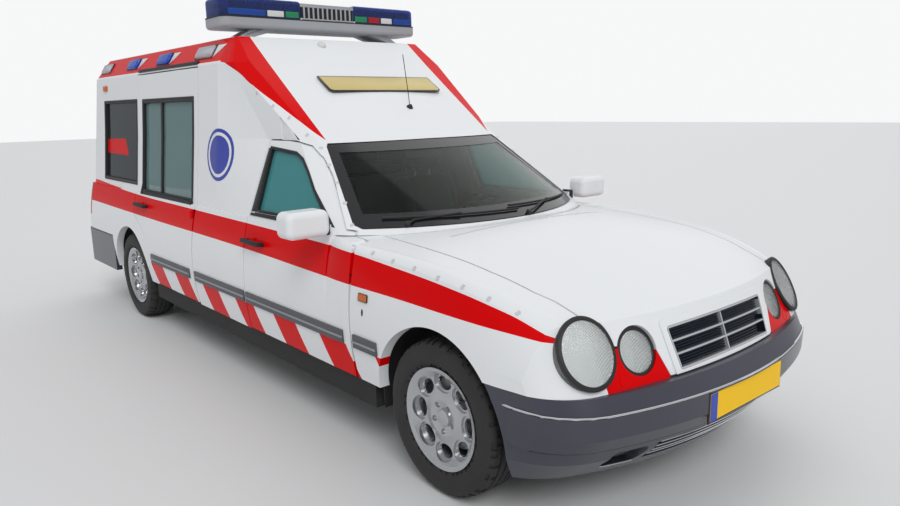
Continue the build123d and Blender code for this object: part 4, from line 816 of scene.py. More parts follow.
def grown(points, amount):
    """The outline moved outward by amount, or inward if negative, mitred at its corners."""
    pairs = list(zip(points, points[1:] + points[:1]))
    way = 1 if sum(a[0] * b[1] - b[0] * a[1] for a, b in pairs) > 0 else -1
    result = []
    for before, here, after in zip(points[-1:] + points[:-1], points, points[1:] + points[:1]):
        first, second = [(Vector(b) - Vector(a)).normalized() for a, b in ((before, here), (here, after))]
        out, next_out = [Vector((edge.y, -edge.x)) * way for edge in (first, second)]
        result.append(tuple(Vector(here) + (out + next_out) * amount / (1 + out.dot(next_out))))
    return result


def sheet(points, place, corner=0.0, grow=0.0, ring=0.0, cell=0.06):
    """A flat face over an outline in place's own X and Y, grown or shrunk. A ring keeps only
    a border of that width along its edge."""
    points = grown(points, grow)
    alone()
    bpy.ops.mesh.primitive_plane_add(size=0.001)
    obj = bpy.context.object
    edit(obj, "VERT")
    bpy.ops.mesh.merge(type="CENTER")
    bpy.ops.transform.translate(value=(*points[0], 0))
    here = Vector(points[0])
    for point in [*points[1:], points[0]]:
        step = Vector(point) - here
        bpy.ops.mesh.extrude_region_move(TRANSFORM_OT_translate={"value": (*step, 0)})
        here = Vector(point)
    bpy.ops.mesh.select_all(action="SELECT")
    bpy.ops.mesh.remove_doubles(threshold=1e-4)
    bpy.ops.mesh.edge_face_add()
    if corner:
        bpy.ops.mesh.bevel(offset=corner, segments=5, affect="VERTICES")
        bpy.ops.mesh.select_all(action="SELECT")
    bpy.ops.mesh.select_mode(type="FACE")
    if ring:
        bpy.ops.mesh.inset(thickness=ring, use_even_offset=True)
        bpy.ops.mesh.delete(type="FACE")
    if cell:
        for axis in (0, 1):
            values = [vert.co[axis] for vert in bmesh.from_edit_mesh(obj.data).verts]
            low, high = min(values), max(values)
            count = int((high - low) / cell)
            for number in range(1, count + 1):
                cut = [0, 0, 0]
                cut[axis] = low + (high - low) * number / (count + 1)
                normal = [0, 0, 0]
                normal[axis] = 1
                bpy.ops.mesh.select_all(action="SELECT")
                bpy.ops.mesh.bisect(plane_co=cut, plane_no=normal)
    alone(obj)
    edit(obj)
    if bmesh.from_edit_mesh(obj.data).faces[:][0].normal.z < 0:
        bpy.ops.mesh.flip_normals()
    alone(obj)
    obj.matrix_world = place
    return obj


def laid(obj, carrier, thick, sink=0.001, bevel=0.0012):
    """Project a sheet onto a CAD piece and thicken it outward; sink lets its back into the panel."""
    if carrier:
        modify(obj, "SHRINKWRAP", target=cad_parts[carrier], wrap_method="PROJECT", use_project_z=True,
               use_positive_direction=False, use_negative_direction=True)
        missed = [tuple(vert.co) for vert in obj.data.vertices if vert.co.z > -0.05]
        if missed:
            raise ValueError(f"{len(missed)} points of a sheet miss {carrier}: {missed[0]}")
        obj.data.transform(Matrix.Translation((0, 0, -sink)))
    modify(obj, "SOLIDIFY", thickness=thick + sink, offset=1)
    if bevel:
        modify(obj, "BEVEL", width=bevel, segments=2, limit_method="ANGLE", angle_limit=radians(50))
    return obj


def carried(obj, place):
    """Move obj from the workbench to its place."""
    obj.matrix_world = place @ obj.matrix_world
    return obj


def rectangle(low, high):
    """The four corners of an upright rectangle."""
    return [low, (high[0], low[1]), high, (low[0], high[1])]


def touch(place, direction):
    """Where a ray from place first meets the vehicle, and the surface's normal there."""
    bpy.context.view_layer.update()
    graph = bpy.context.evaluated_depsgraph_get()
    hit, point, normal, *_ = bpy.context.scene.ray_cast(graph, Vector(place), Vector(direction))
    if not hit:
        raise ValueError(f"nothing is met from {place} along {direction}")
    return point, normal


def traced(start, end, count, direction):
    """Where count rays along direction meet the vehicle, as (point, normal), from start to end."""
    return [touch(Vector(start).lerp(Vector(end), step / (count - 1)), direction) for step in range(count)]


def pipe(points, radius, sides=3):
    """A round rod through the points."""
    alone()
    bpy.ops.mesh.primitive_plane_add(size=0.001)
    obj = bpy.context.object
    edit(obj, "VERT")
    bpy.ops.mesh.merge(type="CENTER")
    bpy.ops.transform.translate(value=points[0])
    for start, end in zip(points, points[1:]):
        bpy.ops.mesh.extrude_region_move(TRANSFORM_OT_translate={"value": Vector(end) - Vector(start)})
    alone(obj)
    bpy.ops.object.convert(target="CURVE")
    obj = bpy.context.object
    obj.data.bevel_depth = radius
    obj.data.bevel_resolution = sides
    obj.data.use_fill_caps = True
    bpy.ops.object.convert(target="MESH")
    return bpy.context.object


# %% [markdown]
# A warning light bar has clear tinted domes with rows of lamps inside, a siren with
# slots in the middle, and bright feet. The dome keeps the CAD outline but is a shell
# here, so the lamps show through it. The coloured modules stand 1.5 mm out of its foot.

# %% Light bar
BAR_REAR, BAR_FRONT, DOME_IN, DOME_OUT = -2.335, -2.065, 0.1903, 0.694
DOME_LOW, DOME_TOP, DOME_THICK, DOME_END_R, DOME_TOP_R = 2.0555, 2.164, 0.003, 0.058, 0.022
tinted = surface("tinted_dome", (0.13, 0.19, 0.50), 0.04, mottle=0.03, Transmission_Weight=0.85, IOR=1.25)
navy_lens = surface("navy_lens", (0.012, 0.03, 0.20), 0.08, mottle=0.1, Transmission_Weight=0.3)
foot_silver = surface("foot_silver", (0.74, 0.75, 0.76), 0.30, 0.25, mottle=0.05)
LOW_MODULES = [(-0.66, -0.42, blue_lens), (-0.415, -0.30, white_lens), (-0.295, -0.20, green_lens),
               (0.20, 0.30, green_lens), (0.305, 0.40, red_lens), (0.405, 0.50, white_lens),
               (0.505, 0.66, blue_lens)]
MODULE_LOW, MODULE_TOP, MODULE_ROW, MODULE_GAP = 2.060, 2.102, 0.1245, 0.006
LAMPS, LAMP_SIZE, LAMP_FIRST, LAMP_PITCH = 4, (0.030, 0.104, 0.036), 0.245, 0.115
LAMP_ROW, LAMP_Z = 0.100, 2.125
SLOTS, SLOT_SIZE, SLOT_SPAN, SIREN_FACE = 11, (0.010, 0.012, 0.075), 0.33, 0.132
FOOT_STATIONS = (-2.270, -2.130)
FOOT_ROUTE = ((0.565, 1.938), (0.545, 1.95), (0.50, 1.975), (0.42, 1.99))
SEAM_HALF, SEAM_Z = (0.142, 0.702), 2.050
BAR_STATION = (BAR_REAR + BAR_FRONT) / 2


def on_bar(size, forward, y, z, bevel, segments=2):
    """A block on the light bar, this far forward of its middle."""
    return block(size, (at(BAR_STATION) + forward, y, z), bevel, segments)


for word, side in SIDES:
    dome_shell = on_bar((BAR_FRONT - BAR_REAR, DOME_OUT - DOME_IN, DOME_TOP - DOME_LOW), 0,
                        side * (DOME_IN + DOME_OUT) / 2, (DOME_LOW + DOME_TOP) / 2, 0)
    edit(dome_shell, "EDGE")
    far = (DOME_OUT - DOME_IN) / 2 * side
    choose(dome_shell, lambda middle, edge: abs(middle.z) < 0.01 and abs(middle.y - far) < 0.01, "edges")
    bpy.ops.mesh.bevel(offset=DOME_END_R, segments=8, affect="EDGES")
    choose(dome_shell, lambda middle, edge: middle.z > 0.05, "edges")
    bpy.ops.mesh.bevel(offset=DOME_TOP_R, segments=5, affect="EDGES")
    bpy.ops.mesh.select_mode(type="FACE")
    choose(dome_shell, lambda middle, normal: normal.z < -0.9)
    bpy.ops.mesh.delete(type="FACE")
    modify(dome_shell, "SOLIDIFY", thickness=DOME_THICK, offset=-1)
    settle(dome_shell, f"lightbar_dome_{word}", "root", tinted)
    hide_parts("lightbar_lenses")
    rows = []
    for way in (1, -1):
        for number in range(LAMPS):
            y = side * (LAMP_FIRST + LAMP_PITCH * number)
            rows.append(on_bar(LAMP_SIZE, way * LAMP_ROW, y, LAMP_Z, 0.006))
    rows.append(on_bar((0.040, 0.42, 0.060), 0, side * 0.43, 2.095, 0.008))
    settle(join(rows), f"lamp_modules_{word}", "root", navy_lens)
    spine = on_bar((0.21, 0.45, 0.006), 0, side * 0.435, 2.103, 0.001, 1)
    settle(spine, f"lamp_shelf_{word}", "root", mirror_silver)
for number, (start, end, finish) in enumerate(LOW_MODULES):
    size = (0.024, end - start - MODULE_GAP, MODULE_TOP - MODULE_LOW - MODULE_GAP)
    both = [on_bar(size, way * MODULE_ROW, (start + end) / 2, (MODULE_LOW + MODULE_TOP) / 2, 0.004)
            for way in (1, -1)]
    settle(join(both), f"lamp_module_{number}", "root", finish)
siren = [on_bar((0.27, 0.39, 0.012), 0, 0, 2.147, 0.004)]
for way in (1, -1):
    for number in range(SLOTS):
        y = SLOT_SPAN * (number / (SLOTS - 1) - 0.5)
        siren.append(on_bar(SLOT_SIZE, way * SIREN_FACE, y, 2.098, 0.003))
    for z in (2.060, 2.137):
        siren.append(on_bar((0.012, 0.385, 0.012), way * SIREN_FACE, 0, z, 0.003))
settle(join(siren), "siren_grille", "root", grey_moulding)
settle(on_bar((0.266, 0.376, 0.075), 0, 0, 2.0985, 0.002, 1), "siren_throat", "root", gloss_black)
for word, side in SIDES:
    feet = []
    for station in FOOT_STATIONS:
        feet.append(pipe([(at(station), side * y, z) for y, z in FOOT_ROUTE], 0.012))
        feet.append(block((0.085, 0.075, 0.010), (at(station), side * 0.555, 1.940), 0.004, 2))
    settle(join(feet), f"lightbar_feet_{word}", "root", foot_silver)
    strap = on_bar((0.292, 0.014, 0.012), 0, side * 0.192, 2.060, 0.003)
    settle(strap, f"lightbar_strap_{word}", "root", chrome)
seam_place = facing((at(BAR_STATION), 0, SEAM_Z), UP, FORWARD)
seam_shape = rectangle((-SEAM_HALF[0], -SEAM_HALF[1]), SEAM_HALF)
seam = laid(sheet(seam_shape, seam_place, corner=0.062, ring=0.006, cell=0), None, 0.006)
settle(seam, "lightbar_seam", "root", rubber)
print("light bar of", len(LOW_MODULES), "low modules")

# %% [markdown]
# Four beacons sit along each roof chamfer: clear ones at the ends, blue ones between.
# Each gets its own lens over a dark gasket, and a white wedge on the red paint ahead of
# the first three, as the photo shows.

# %% Beacons along the roof
BEACONS = ((-2.440, -2.190, "clear"), (-3.115, -2.890, "blue"), (-3.740, -3.520, "blue"),
           (-4.370, -4.170, "clear"))
CHAMFER_Y, CHAMFER_Z, BEACON_HALF, BEACON_OUT, BEACON_CORNER = 0.700, 1.862, 0.042, 0.020, 0.014
CHAMFER_FOOT, CHAMFER_HEAD = (0.737, 1.785), (0.645, 1.935)
WEDGES, WEDGE_START, WEDGE_END, WEDGE_HALF = 3, 0.010, 0.130, 0.040
chamfer_out = Vector((0, CHAMFER_FOOT[1] - CHAMFER_HEAD[1], CHAMFER_FOOT[0] - CHAMFER_HEAD[0])).normalized()
beacon_clear = surface("beacon_clear", (0.72, 0.80, 0.88), 0.08, mottle=0.05, Transmission_Weight=0.5,
                       IOR=1.35)
beacon_blue = surface("beacon_blue", (0.02, 0.10, 0.70), 0.10, mottle=0.08, Transmission_Weight=0.35,
                      IOR=1.35)
for number, (low_end, high_end, kind) in enumerate(BEACONS):
    middle, half = (low_end + high_end) / 2, (high_end - low_end) / 2
    place = facing((at(middle), -CHAMFER_Y, CHAMFER_Z), chamfer_out, FORWARD)
    lens = block((2 * half - 0.012, 2 * BEACON_HALF - 0.006, 2 * BEACON_OUT), (0, 0, 0), BEACON_CORNER, 5)
    finish = beacon_blue if kind == "blue" else beacon_clear
    right, left = both_sides(carried(lens, place), f"beacon_{number}", "root", finish)
    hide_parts("side_beacons")
    gasket = sheet(rectangle((-half, -BEACON_HALF), (half, BEACON_HALF)), WORKBENCH, corner=BEACON_CORNER,
                   grow=0.006, ring=0.006, cell=0)
    carried(laid(gasket, None, 0.006), place @ Matrix.Translation((0, 0, -0.001)))
    both_sides(gasket, f"beacon_gasket_{number}", "root", gloss_black)
    core = carried(block((2 * half - 0.06, 0.035, 0.016), (0, 0, 0), 0.005, 2), place)
    both_sides(core, f"beacon_core_{number}", "root", mirror_silver)
    if number < WEDGES:
        wedge = sheet([(half + WEDGE_START, -WEDGE_HALF), (half + WEDGE_END, WEDGE_HALF),
                       (half + WEDGE_START, WEDGE_HALF)], place, cell=0)
        both_sides(laid(wedge, None, 0.0015, bevel=0), f"beacon_arrow_{number}", "root", plain_white)
print("beacons a side:", len(BEACONS))

# %% [markdown]
# The front: a dark backing behind the grille, navy paint on its slats, a painted highlight
# along the top edge of the bumper's rubbing strip, made as a mirror-silver rod, painted
# shade in the groove below the strip, made as a black rod, bright lines in its intakes,
# and number plates, which stay blank. The highlight rod runs where a ray first meets the
# bumper, so it follows the real surface.

# %% Nose and bumper trim
GRILLE_LEAN, GRILLE_DEEP, GRILLE_STATION, GRILLE_Z = radians(17), 0.056, 0.700, 0.655
GRILLE_SHAPE = [(-0.316, -0.082), (0.316, -0.082), (0.334, 0.082), (-0.334, 0.082)]
GRILLE_SIDE, GRILLE_SPREAD, GRILLE_INNER_TOP, GRILLE_BAR, GRILLE_ROW = 0.3145, 0.116, 0.0725, 0.0040, 0.0243
SLAT_NAVY = (0.020, 0.028, 0.045)
grille_out = Vector((cos(GRILLE_LEAN), 0, sin(GRILLE_LEAN)))
grille_place = facing(Vector((at(GRILLE_STATION), 0, GRILLE_Z)) - grille_out * GRILLE_DEEP, grille_out, LEFT)
backing = laid(sheet(GRILLE_SHAPE, grille_place, corner=0.01, cell=0), None, 0.003, bevel=0)
settle(backing, "grille_backing", "bonnet_lid", gloss_black)
grille_finish = surface("grille_bars", (0.66, 0.68, 0.70), 0.20, 0.55, mottle=0.04)
masks = Masks(grille_finish)
lean_back = masks.math("MULTIPLY", masks.math("SUBTRACT", masks.station, GRILLE_STATION), -sin(GRILLE_LEAN))
climb = masks.math("MULTIPLY_ADD", masks.math("SUBTRACT", masks.z, GRILLE_Z), cos(GRILLE_LEAN), lean_back)
row = masks.math("ABSOLUTE", climb)
from_bar = masks.math("ABSOLUTE", masks.math("SUBTRACT", row, GRILLE_ROW))
slats = masks.all(
    masks.math("LESS_THAN", row, GRILLE_INNER_TOP),
    masks.math("LESS_THAN", masks.width, masks.math("MULTIPLY_ADD", climb, GRILLE_SPREAD, GRILLE_SIDE)),
    masks.math("GREATER_THAN", masks.width, GRILLE_BAR),
    masks.math("GREATER_THAN", from_bar, GRILLE_BAR),
)
nodes = grille_finish.node_tree.nodes
bars_colour = nodes["drift"].outputs["Result"]
masks.paint(nodes["Principled BSDF"].inputs["Base Color"], bars_colour, SLAT_NAVY, slats)
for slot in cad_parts["grille"].material_slots:
    slot.material = grille_finish

HIGHLIGHT_Z, HIGHLIGHT_R, HIGHLIGHT_RAY_Z, HIGHLIGHT_STEPS = 0.5035, 0.0042, 0.4975, 22
GROOVE_SHADE_Z, GROOVE_SHADE_R, GROOVE_SHADE_STEPS = 0.358, 0.0022, 20
NOSE_CENTRE, NOSE_TURN, NOSE_AWAY = 0.10, 3.3, 2
INTAKE_LINES, INTAKE_HALF, INTAKE_R = (0.2695, 0.291, 0.3125, 0.337), 0.424, 0.0028
SIDE_INTAKE_IN, SIDE_INTAKE_OUT, SIDE_INTAKE_Z, SIDE_INTAKE_R = -0.472, -0.600, 0.2485, 0.0026
LINE_PROUD = 0.001


def round_nose(ray_z, steps):
    """Where level rays towards the nose's centre meet the bumper, with each ray's outward direction."""
    points = []
    for step in range(-steps, steps + 1):
        turn = radians(NOSE_TURN * step)
        out = Vector((cos(turn), sin(turn), 0))
        point, _ = touch(Vector((at(NOSE_CENTRE), 0, ray_z)) + out * NOSE_AWAY, -out)
        points.append((point, out))
    return points


def across_nose(start, end, z, count):
    """A level line on the bumper between two widths, standing a little proud."""
    return [(point.x + LINE_PROUD, point.y, z)
            for point, _ in traced((AHEAD, start, z), (AHEAD, end, z), count, BACKWARD)]


# The mirror-silver rod is a painted highlight: it stands where the strip's top edge catches the light.
painted_highlight = [(*(point - out * HIGHLIGHT_R).xy, HIGHLIGHT_Z) for point, out in round_nose(HIGHLIGHT_RAY_Z, HIGHLIGHT_STEPS)]
settle(pipe(painted_highlight, HIGHLIGHT_R), "bumper_painted_highlight", "root", mirror_silver)
for number, z in enumerate(INTAKE_LINES):
    line = pipe(across_nose(-INTAKE_HALF, INTAKE_HALF, z, 21), INTAKE_R)
    settle(line, f"intake_line_{number}", "root", chrome)
side_line = across_nose(SIDE_INTAKE_IN, SIDE_INTAKE_OUT, SIDE_INTAKE_Z, 9)
both_sides(pipe(side_line, SIDE_INTAKE_R), "side_intake_line", "root", chrome)
# A black rod stands in for the groove below the rubbing strip; its dark is painted shade.
groove_shade_rod = [(*point.xy, GROOVE_SHADE_Z) for point, _ in round_nose(GROOVE_SHADE_Z, GROOVE_SHADE_STEPS)]
settle(pipe(groove_shade_rod, GROOVE_SHADE_R), "bumper_groove_shade", "root", rubber)

PLATE_SIZE, PLATE_BAND = (0.520, 0.110), 0.044


def number_plate(name, place, body):
    """A blank plate in a dark surround, with a blue band at its end."""
    width, height = PLATE_SIZE
    surround = block((width + 0.016, height + 0.012, 0.008), (0, 0, 0.004), 0.003, 2)
    face = block((width, height - 0.006, 0.003), (0, 0, 0.0085), 0.001, 1)
    band = block((PLATE_BAND, height - 0.006, 0.0012), (-width / 2 + PLATE_BAND / 2, 0, 0.0104), 0)
    for piece, word, finish in ((surround, "surround", gloss_black), (face, "face", plate_yellow),
                                (band, "band", plate_blue)):
        settle(carried(piece, place), f"{name}_{word}", body, finish)


number_plate("front_plate", facing((at(0.7965), 0, 0.439), FORWARD, LEFT), "root")
number_plate("rear_plate", facing((at(-4.6405), 0, 0.885), BACKWARD, RIGHT), "tailgate_lid")
print("bead of", len(painted_highlight), "points")

# %% [markdown]
# Glass is bonded in behind a black border, and side windows sit in rubber channels.
# The windscreen's border is widest at its foot, where wipers park on it.

# %% Windscreen border, wipers, window seals
SCREEN_EDGE = [(-0.721, 0.978), (0.721, 0.978), (0.741, 0.996), (0.591, 1.327), (0.574, 1.344),
               (-0.574, 1.344), (-0.591, 1.327), (-0.741, 0.996)]
FOOT_BAND = [(-0.70, 1.000), (0.70, 1.000), (0.683, 1.034), (-0.683, 1.034)]
SCREEN_PRINT = {"carrier": "windscreen", "thick": 0.0012, "sink": 0.0005, "bevel": 0}
border = laid(sheet(SCREEN_EDGE, FROM_FRONT, grow=-0.001, ring=0.045, cell=0.05), **SCREEN_PRINT)
settle(border, "windscreen_border", "root", gloss_black)
foot_band = laid(sheet(FOOT_BAND, FROM_FRONT, cell=0.05), **SCREEN_PRINT)
settle(foot_band, "windscreen_foot", "root", gloss_black)
WIPERS = (((-0.55, 0.972), (0.06, 1.004), (-0.62, 1.013)), ((0.10, 0.972), (0.66, 1.010), (0.02, 1.020)))
WIPER_FOOT_Z, BLADE_OUT, BLADE_R, ARM_R = 0.985, 0.009, 0.0055, 0.006
for number, (pivot, blade_end, blade_start) in enumerate(WIPERS):
    met = traced((AHEAD, *blade_start), (AHEAD, *blade_end), 9, BACKWARD)
    points = [point + normal * BLADE_OUT for point, normal in met]
    blade = pipe(points, BLADE_R)
    foot, normal = touch((AHEAD, pivot[0], WIPER_FOOT_Z), BACKWARD)
    elbow = foot + Vector((0.0, 0.05, 0.022))
    arm = pipe([foot + Vector((0.01, 0, 0.012)), elbow, points[4] + normal * 0.008], ARM_R)
    hub = disc(0.014, 0.022, foot + Vector((0.01, 0, 0.008)), normal, 0.003, 24)
    settle(join([blade, arm, hub]), f"wiper_{number}", "root", rubber)

FRONT_WINDOW = [(-0.815, 0.992), (-1.030, 1.135), (-1.130, 1.210), (-1.220, 1.270), (-1.300, 1.298),
                (-1.560, 1.318), (-1.535, 0.985)]
REAR_WINDOW = rectangle((-3.315, 0.972), (-2.420, 1.590))
QUARTER_WINDOW = rectangle((-4.220, 1.020), (-3.460, 1.600))
SIDE_WINDOWS = (
    ("front_door", FRONT_WINDOW, "front_door_{}", "front_door_right", "front_glass_right", 0.008),
    ("rear_door", REAR_WINDOW, "rear_door_{}", "rear_door_right", "rear_glass_right", 0.020),
    ("quarter", QUARTER_WINDOW, "root", "side_panel_right", "quarter_windows", 0.014),
)
for name, shape, body, panel, glass_node, width in SIDE_WINDOWS:
    lip = laid(sheet(shape, FROM_SIDE, grow=width + 0.001, ring=width, cell=0.08), panel, 0.0035)
    both_sides(lip, f"{name}_window_lip", body, rubber)
    channel = laid(sheet(shape, FROM_SIDE, grow=-0.001, ring=0.009, cell=0.08), glass_node, 0.017, 0, 0)
    both_sides(channel, f"{name}_window_channel", body, rubber)
DIVIDER = rectangle((-2.985, 0.980), (-2.955, 1.582))
WINDOW_SILL = rectangle((-3.330, 0.957), (-2.405, 0.972))
WINDOW_BELT = [(-0.800, 0.968), (-0.800, 0.982), (-1.585, 0.980), (-1.590, 0.966)]
PILLAR_COVER = [(-1.540, 0.990), (-1.592, 0.985), (-1.583, 1.318), (-1.564, 1.318)]
WINDOW_TRIMS = (
    ("rear_window_divider", DIVIDER, 0.08, "rear_glass_right", 0.012, "rear_door_{}", rubber),
    ("rear_window_sill", WINDOW_SILL, 0.08, "rear_door_right", 0.009, "rear_door_{}", rubber),
    ("front_window_belt", WINDOW_BELT, 0.08, "front_door_right", 0.006, "front_door_{}", rubber),
    ("front_door_pillar", PILLAR_COVER, 0.05, "front_door_right", 0.003, "front_door_{}", gloss_black),
)
for name, shape, cell, panel, thick, body, finish in WINDOW_TRIMS:
    both_sides(laid(sheet(shape, FROM_SIDE, cell=cell), panel, thick), name, body, finish)
STICKER = [(-4.212, 1.213), (-3.700, 1.206), (-3.775, 1.330), (-4.212, 1.318)]
sticker = laid(sheet(STICKER, FROM_SIDE, cell=0.06), "quarter_windows", 0.0006, 0, 0)
both_sides(sticker, "quarter_sticker", "root", red_enamel)
print("side windows", len(SIDE_WINDOWS))

# %% [markdown]
# Rub strips protect the doors, each panel with its own length, split where the shut
# lines are. A lighter ridge runs along the middle of each. A drip rail closes the rear
# door's top, and a plain blue disc with a white ring sits on the blind panel.

# %% Rub strips, drip rail and roundel
STRIP_LOW, STRIP_TOP, RIDGE_LOW, RIDGE_TOP = 0.494, 0.556, 0.519, 0.529
STRIPS = (
    ("wing", -0.530, -0.352, "root", "wing_right"),
    ("front_door", -1.588, -0.612, "front_door_{}", "front_door_right"),
    ("post", -2.308, -1.612, "root", "side_panel_right"),
    ("rear_door", -3.088, -2.392, "rear_door_{}", "rear_door_right"),
)
strip_grey = surface("strip_grey", (0.085, 0.088, 0.10), 0.45, mottle=0.1, grain=0.3)
ridge_grey = surface("ridge_grey", (0.33, 0.34, 0.36), 0.35, 0.4, mottle=0.05)
for name, rear, front, body, panel in STRIPS:
    strip = sheet(rectangle((rear, STRIP_LOW), (front, STRIP_TOP)), FROM_SIDE, cell=0.1)
    both_sides(laid(strip, panel, 0.011, bevel=0.004), f"rub_strip_{name}", body, strip_grey)
    ridge = sheet(rectangle((rear + 0.002, RIDGE_LOW), (front - 0.002, RIDGE_TOP)), FROM_SIDE, cell=0.1)
    both_sides(laid(ridge, panel, 0.014), f"rub_ridge_{name}", body, ridge_grey)
rail = sheet(rectangle((-3.420, 1.794), (-2.350, 1.812)), FROM_SIDE, cell=0.1)
both_sides(laid(rail, "roof", 0.010, bevel=0.003), "drip_rail", "root", rubber)
ROUNDEL_CENTRE, ROUNDEL_R, ROUNDEL_STEPS = (-2.04, 1.27), 0.150, 48
ROUNDEL = (("field", 1.0, 0, roundel_blue, 0.0020), ("ring", 0.86, 0.12, plain_white, 0.0032))
for name, outer_share, ring_share, finish, thick in ROUNDEL:
    turns = [2 * pi * step / ROUNDEL_STEPS for step in range(ROUNDEL_STEPS)]
    radius = ROUNDEL_R * outer_share
    circle = [(ROUNDEL_CENTRE[0] + radius * cos(turn), ROUNDEL_CENTRE[1] + radius * sin(turn))
              for turn in turns]
    plate = sheet(circle, FROM_SIDE, ring=ring_share * ROUNDEL_R, cell=0.024)
    both_sides(laid(plate, "side_panel_right", thick, bevel=0), f"roundel_{name}", "root", finish)
print("strips a side:", len(STRIPS))

# %% [markdown]
# Two covers close openings in the painted skin: a plate fills the corner between roof,
# side panel and front door, and a painted barrel hides the rear door's upper hinge.

# %% Skin covers
CORNER_LOW, CORNER_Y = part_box("front_door_right")[1].z + 0.004, -0.669
CORNER_PLATE = [(-1.486, CORNER_LOW), (-1.318, CORNER_LOW), (-1.458, 1.480), (-1.486, 1.484)]
corner_plate = sheet(CORNER_PLATE, facing((FRONT_AXLE, CORNER_Y, 0), RIGHT, FORWARD), cell=0.05)
both_sides(laid(corner_plate, None, 0.002, bevel=0.0005), "corner_plate", "root", enamel)
HINGE_BARREL_R, HINGE_BARREL_LONG, HINGE_PLACE = 0.016, 0.048, (at(-2.365), -0.860, 0.900)
barrel = disc(HINGE_BARREL_R, HINGE_BARREL_LONG, HINGE_PLACE, UP, 0.003, 32)
both_sides(barrel, "hinge_barrel", "root", enamel)

# %% [markdown]
# Small fittings were placed from the photo: a ray leaves the camera through a pixel and
# stops where it meets the vehicle. `under_pixel` gives that point and the panel's normal,
# and the fitting's twin on the far side is its mirror image.

# %% Studs, side repeaters and round caps
PHOTO_WIDTH, PHOTO_HEIGHT = 900, 506


def under_pixel(across, down):
    """The point of the vehicle seen at this pixel of the photo, and the normal there."""
    half = camera_data.sensor_width / 2 / camera_data.lens
    right = (across - PHOTO_WIDTH / 2) / (PHOTO_WIDTH / 2) * half
    up = (PHOTO_HEIGHT / 2 - down) / (PHOTO_WIDTH / 2) * half
    bpy.context.view_layer.update()
    direction = camera.matrix_world.to_3x3() @ Vector((right, up, -1))
    return touch(camera.location, direction.normalized())


STUD_PIXELS = [(257, 93), (273, 106), (289, 118), (307, 135), (321, 148), (329, 165), (337, 183), (345, 203),
               (352, 225), (354, 246), (373, 253), (393, 261), (414.5, 268.5), (438, 278), (463, 287),
               (489, 299), (518, 313)]
STUD = [(0.0105, -0.003), (0.0105, 0.0015), (0.009, 0.0025), (0.0075, 0.0016), (0, 0.0016)]
ROOF_STUD_Z, DOOR_EDGE = 1.38, -0.565
studs = {"roof": [], "pillar": [], "wing": []}
for pixel in STUD_PIXELS:
    point, normal = under_pixel(*pixel)
    stud = faced(turned(STUD, 16), point, normal)
    corner = stud.data.vertices[0].co
    where = "roof" if corner.z > ROOF_STUD_Z else "wing" if corner.x > at(DOOR_EDGE) else "pillar"
    studs[where].append(stud)
print("studs", {name: len(group) for name, group in studs.items()})
for name, group in studs.items():
    both_sides(join(group), f"studs_{name}", "root", stud_grey)

REPEATER_PIXEL, DROP_PIXEL, CORNER_LAMP_PIXEL, CAP_PIXEL = (363, 298), (362, 312.7), (106, 89), (625, 381)
DROP, DROP_STRETCH = [(0.006, -0.002), (0.006, 0.0015), (0.004, 0.003), (0, 0.003)], 2.6
TOWING_CAP = [(0.0235, -0.002), (0.0235, 0.0008), (0.0215, 0.0012), (0.0205, 0.0002), (0, 0.0002)]
point, normal = under_pixel(*REPEATER_PIXEL)
place = facing(point, normal, FORWARD)
repeater = carried(block((0.062, 0.030, 0.012), (0, 0, 0.004), 0.006, 4), place)
both_sides(repeater, "side_repeater", "root", amber_lens)
edge = sheet(rectangle((-0.034, -0.018), (0.034, 0.018)), WORKBENCH, corner=0.007, ring=0.005, cell=0)
both_sides(carried(laid(edge, None, 0.004), place), "repeater_frame", "root", gloss_black)
point, normal = under_pixel(*DROP_PIXEL)
drop = faced(turned(DROP, 16), point, normal, FORWARD, DROP_STRETCH)
both_sides(drop, "drop_mark", "root", gloss_black)
point, normal = under_pixel(*CORNER_LAMP_PIXEL)
corner_lamp = block((0.085, 0.042, 0.016), (0, 0, 0.005), 0.005, 3)
carried(corner_lamp, facing(point, normal, FORWARD))
both_sides(corner_lamp, "corner_lamp", "root", amber_lens)
point, normal = under_pixel(*CAP_PIXEL)
both_sides(faced(turned(TOWING_CAP, 32), point, normal), "towing_cap", "root", red_enamel)

# %% [markdown]
# Pull handles: a bar on two feet over a shallow painted dish. Door mirrors get their
# glass, a black inner edge and a joint at the foot.

# %% Door handles and mirrors
HANDLES = (("front_door", -1.480, 0.835), ("rear_door", -3.255, 0.875))
DISH = [(0.030, -0.002), (0.030, 0.0012), (0.027, 0.0016), (0.024, 0.0004), (0, 0.0002)]
HANDLE_BAR, HANDLE_BAR_OUT = (0.205, 0.026, 0.014), 0.034
HANDLE_FOOT, HANDLE_FOOT_OUT, HANDLE_REACH = (0.030, 0.024, 0.036), 0.015, 0.088
LOCK_R, LOCK_DEEP, LOCK_PLACE = 0.009, 0.006, (-0.128, 0, 0.001)
for name, station, z in HANDLES:
    point, normal = touch((at(station), BESIDE, z), LEFT)
    place = facing(point, normal, FORWARD)
    body = name + "_{}"
    both_sides(faced(turned(DISH, 32), point, normal, FORWARD), f"{name}_dish", body, enamel)
    grip = [block(HANDLE_BAR, (0, 0, HANDLE_BAR_OUT), 0.006, 3)]
    for end in (-HANDLE_REACH, HANDLE_REACH):
        grip.append(block(HANDLE_FOOT, (end, 0, HANDLE_FOOT_OUT), 0.006, 3))
    both_sides(carried(join(grip), place), f"{name}_handle", body, rubber)
    lock = carried(disc(LOCK_R, LOCK_DEEP, LOCK_PLACE, UP, 0.001, 24), place)
    both_sides(lock, f"{name}_lock", body, dull_steel)

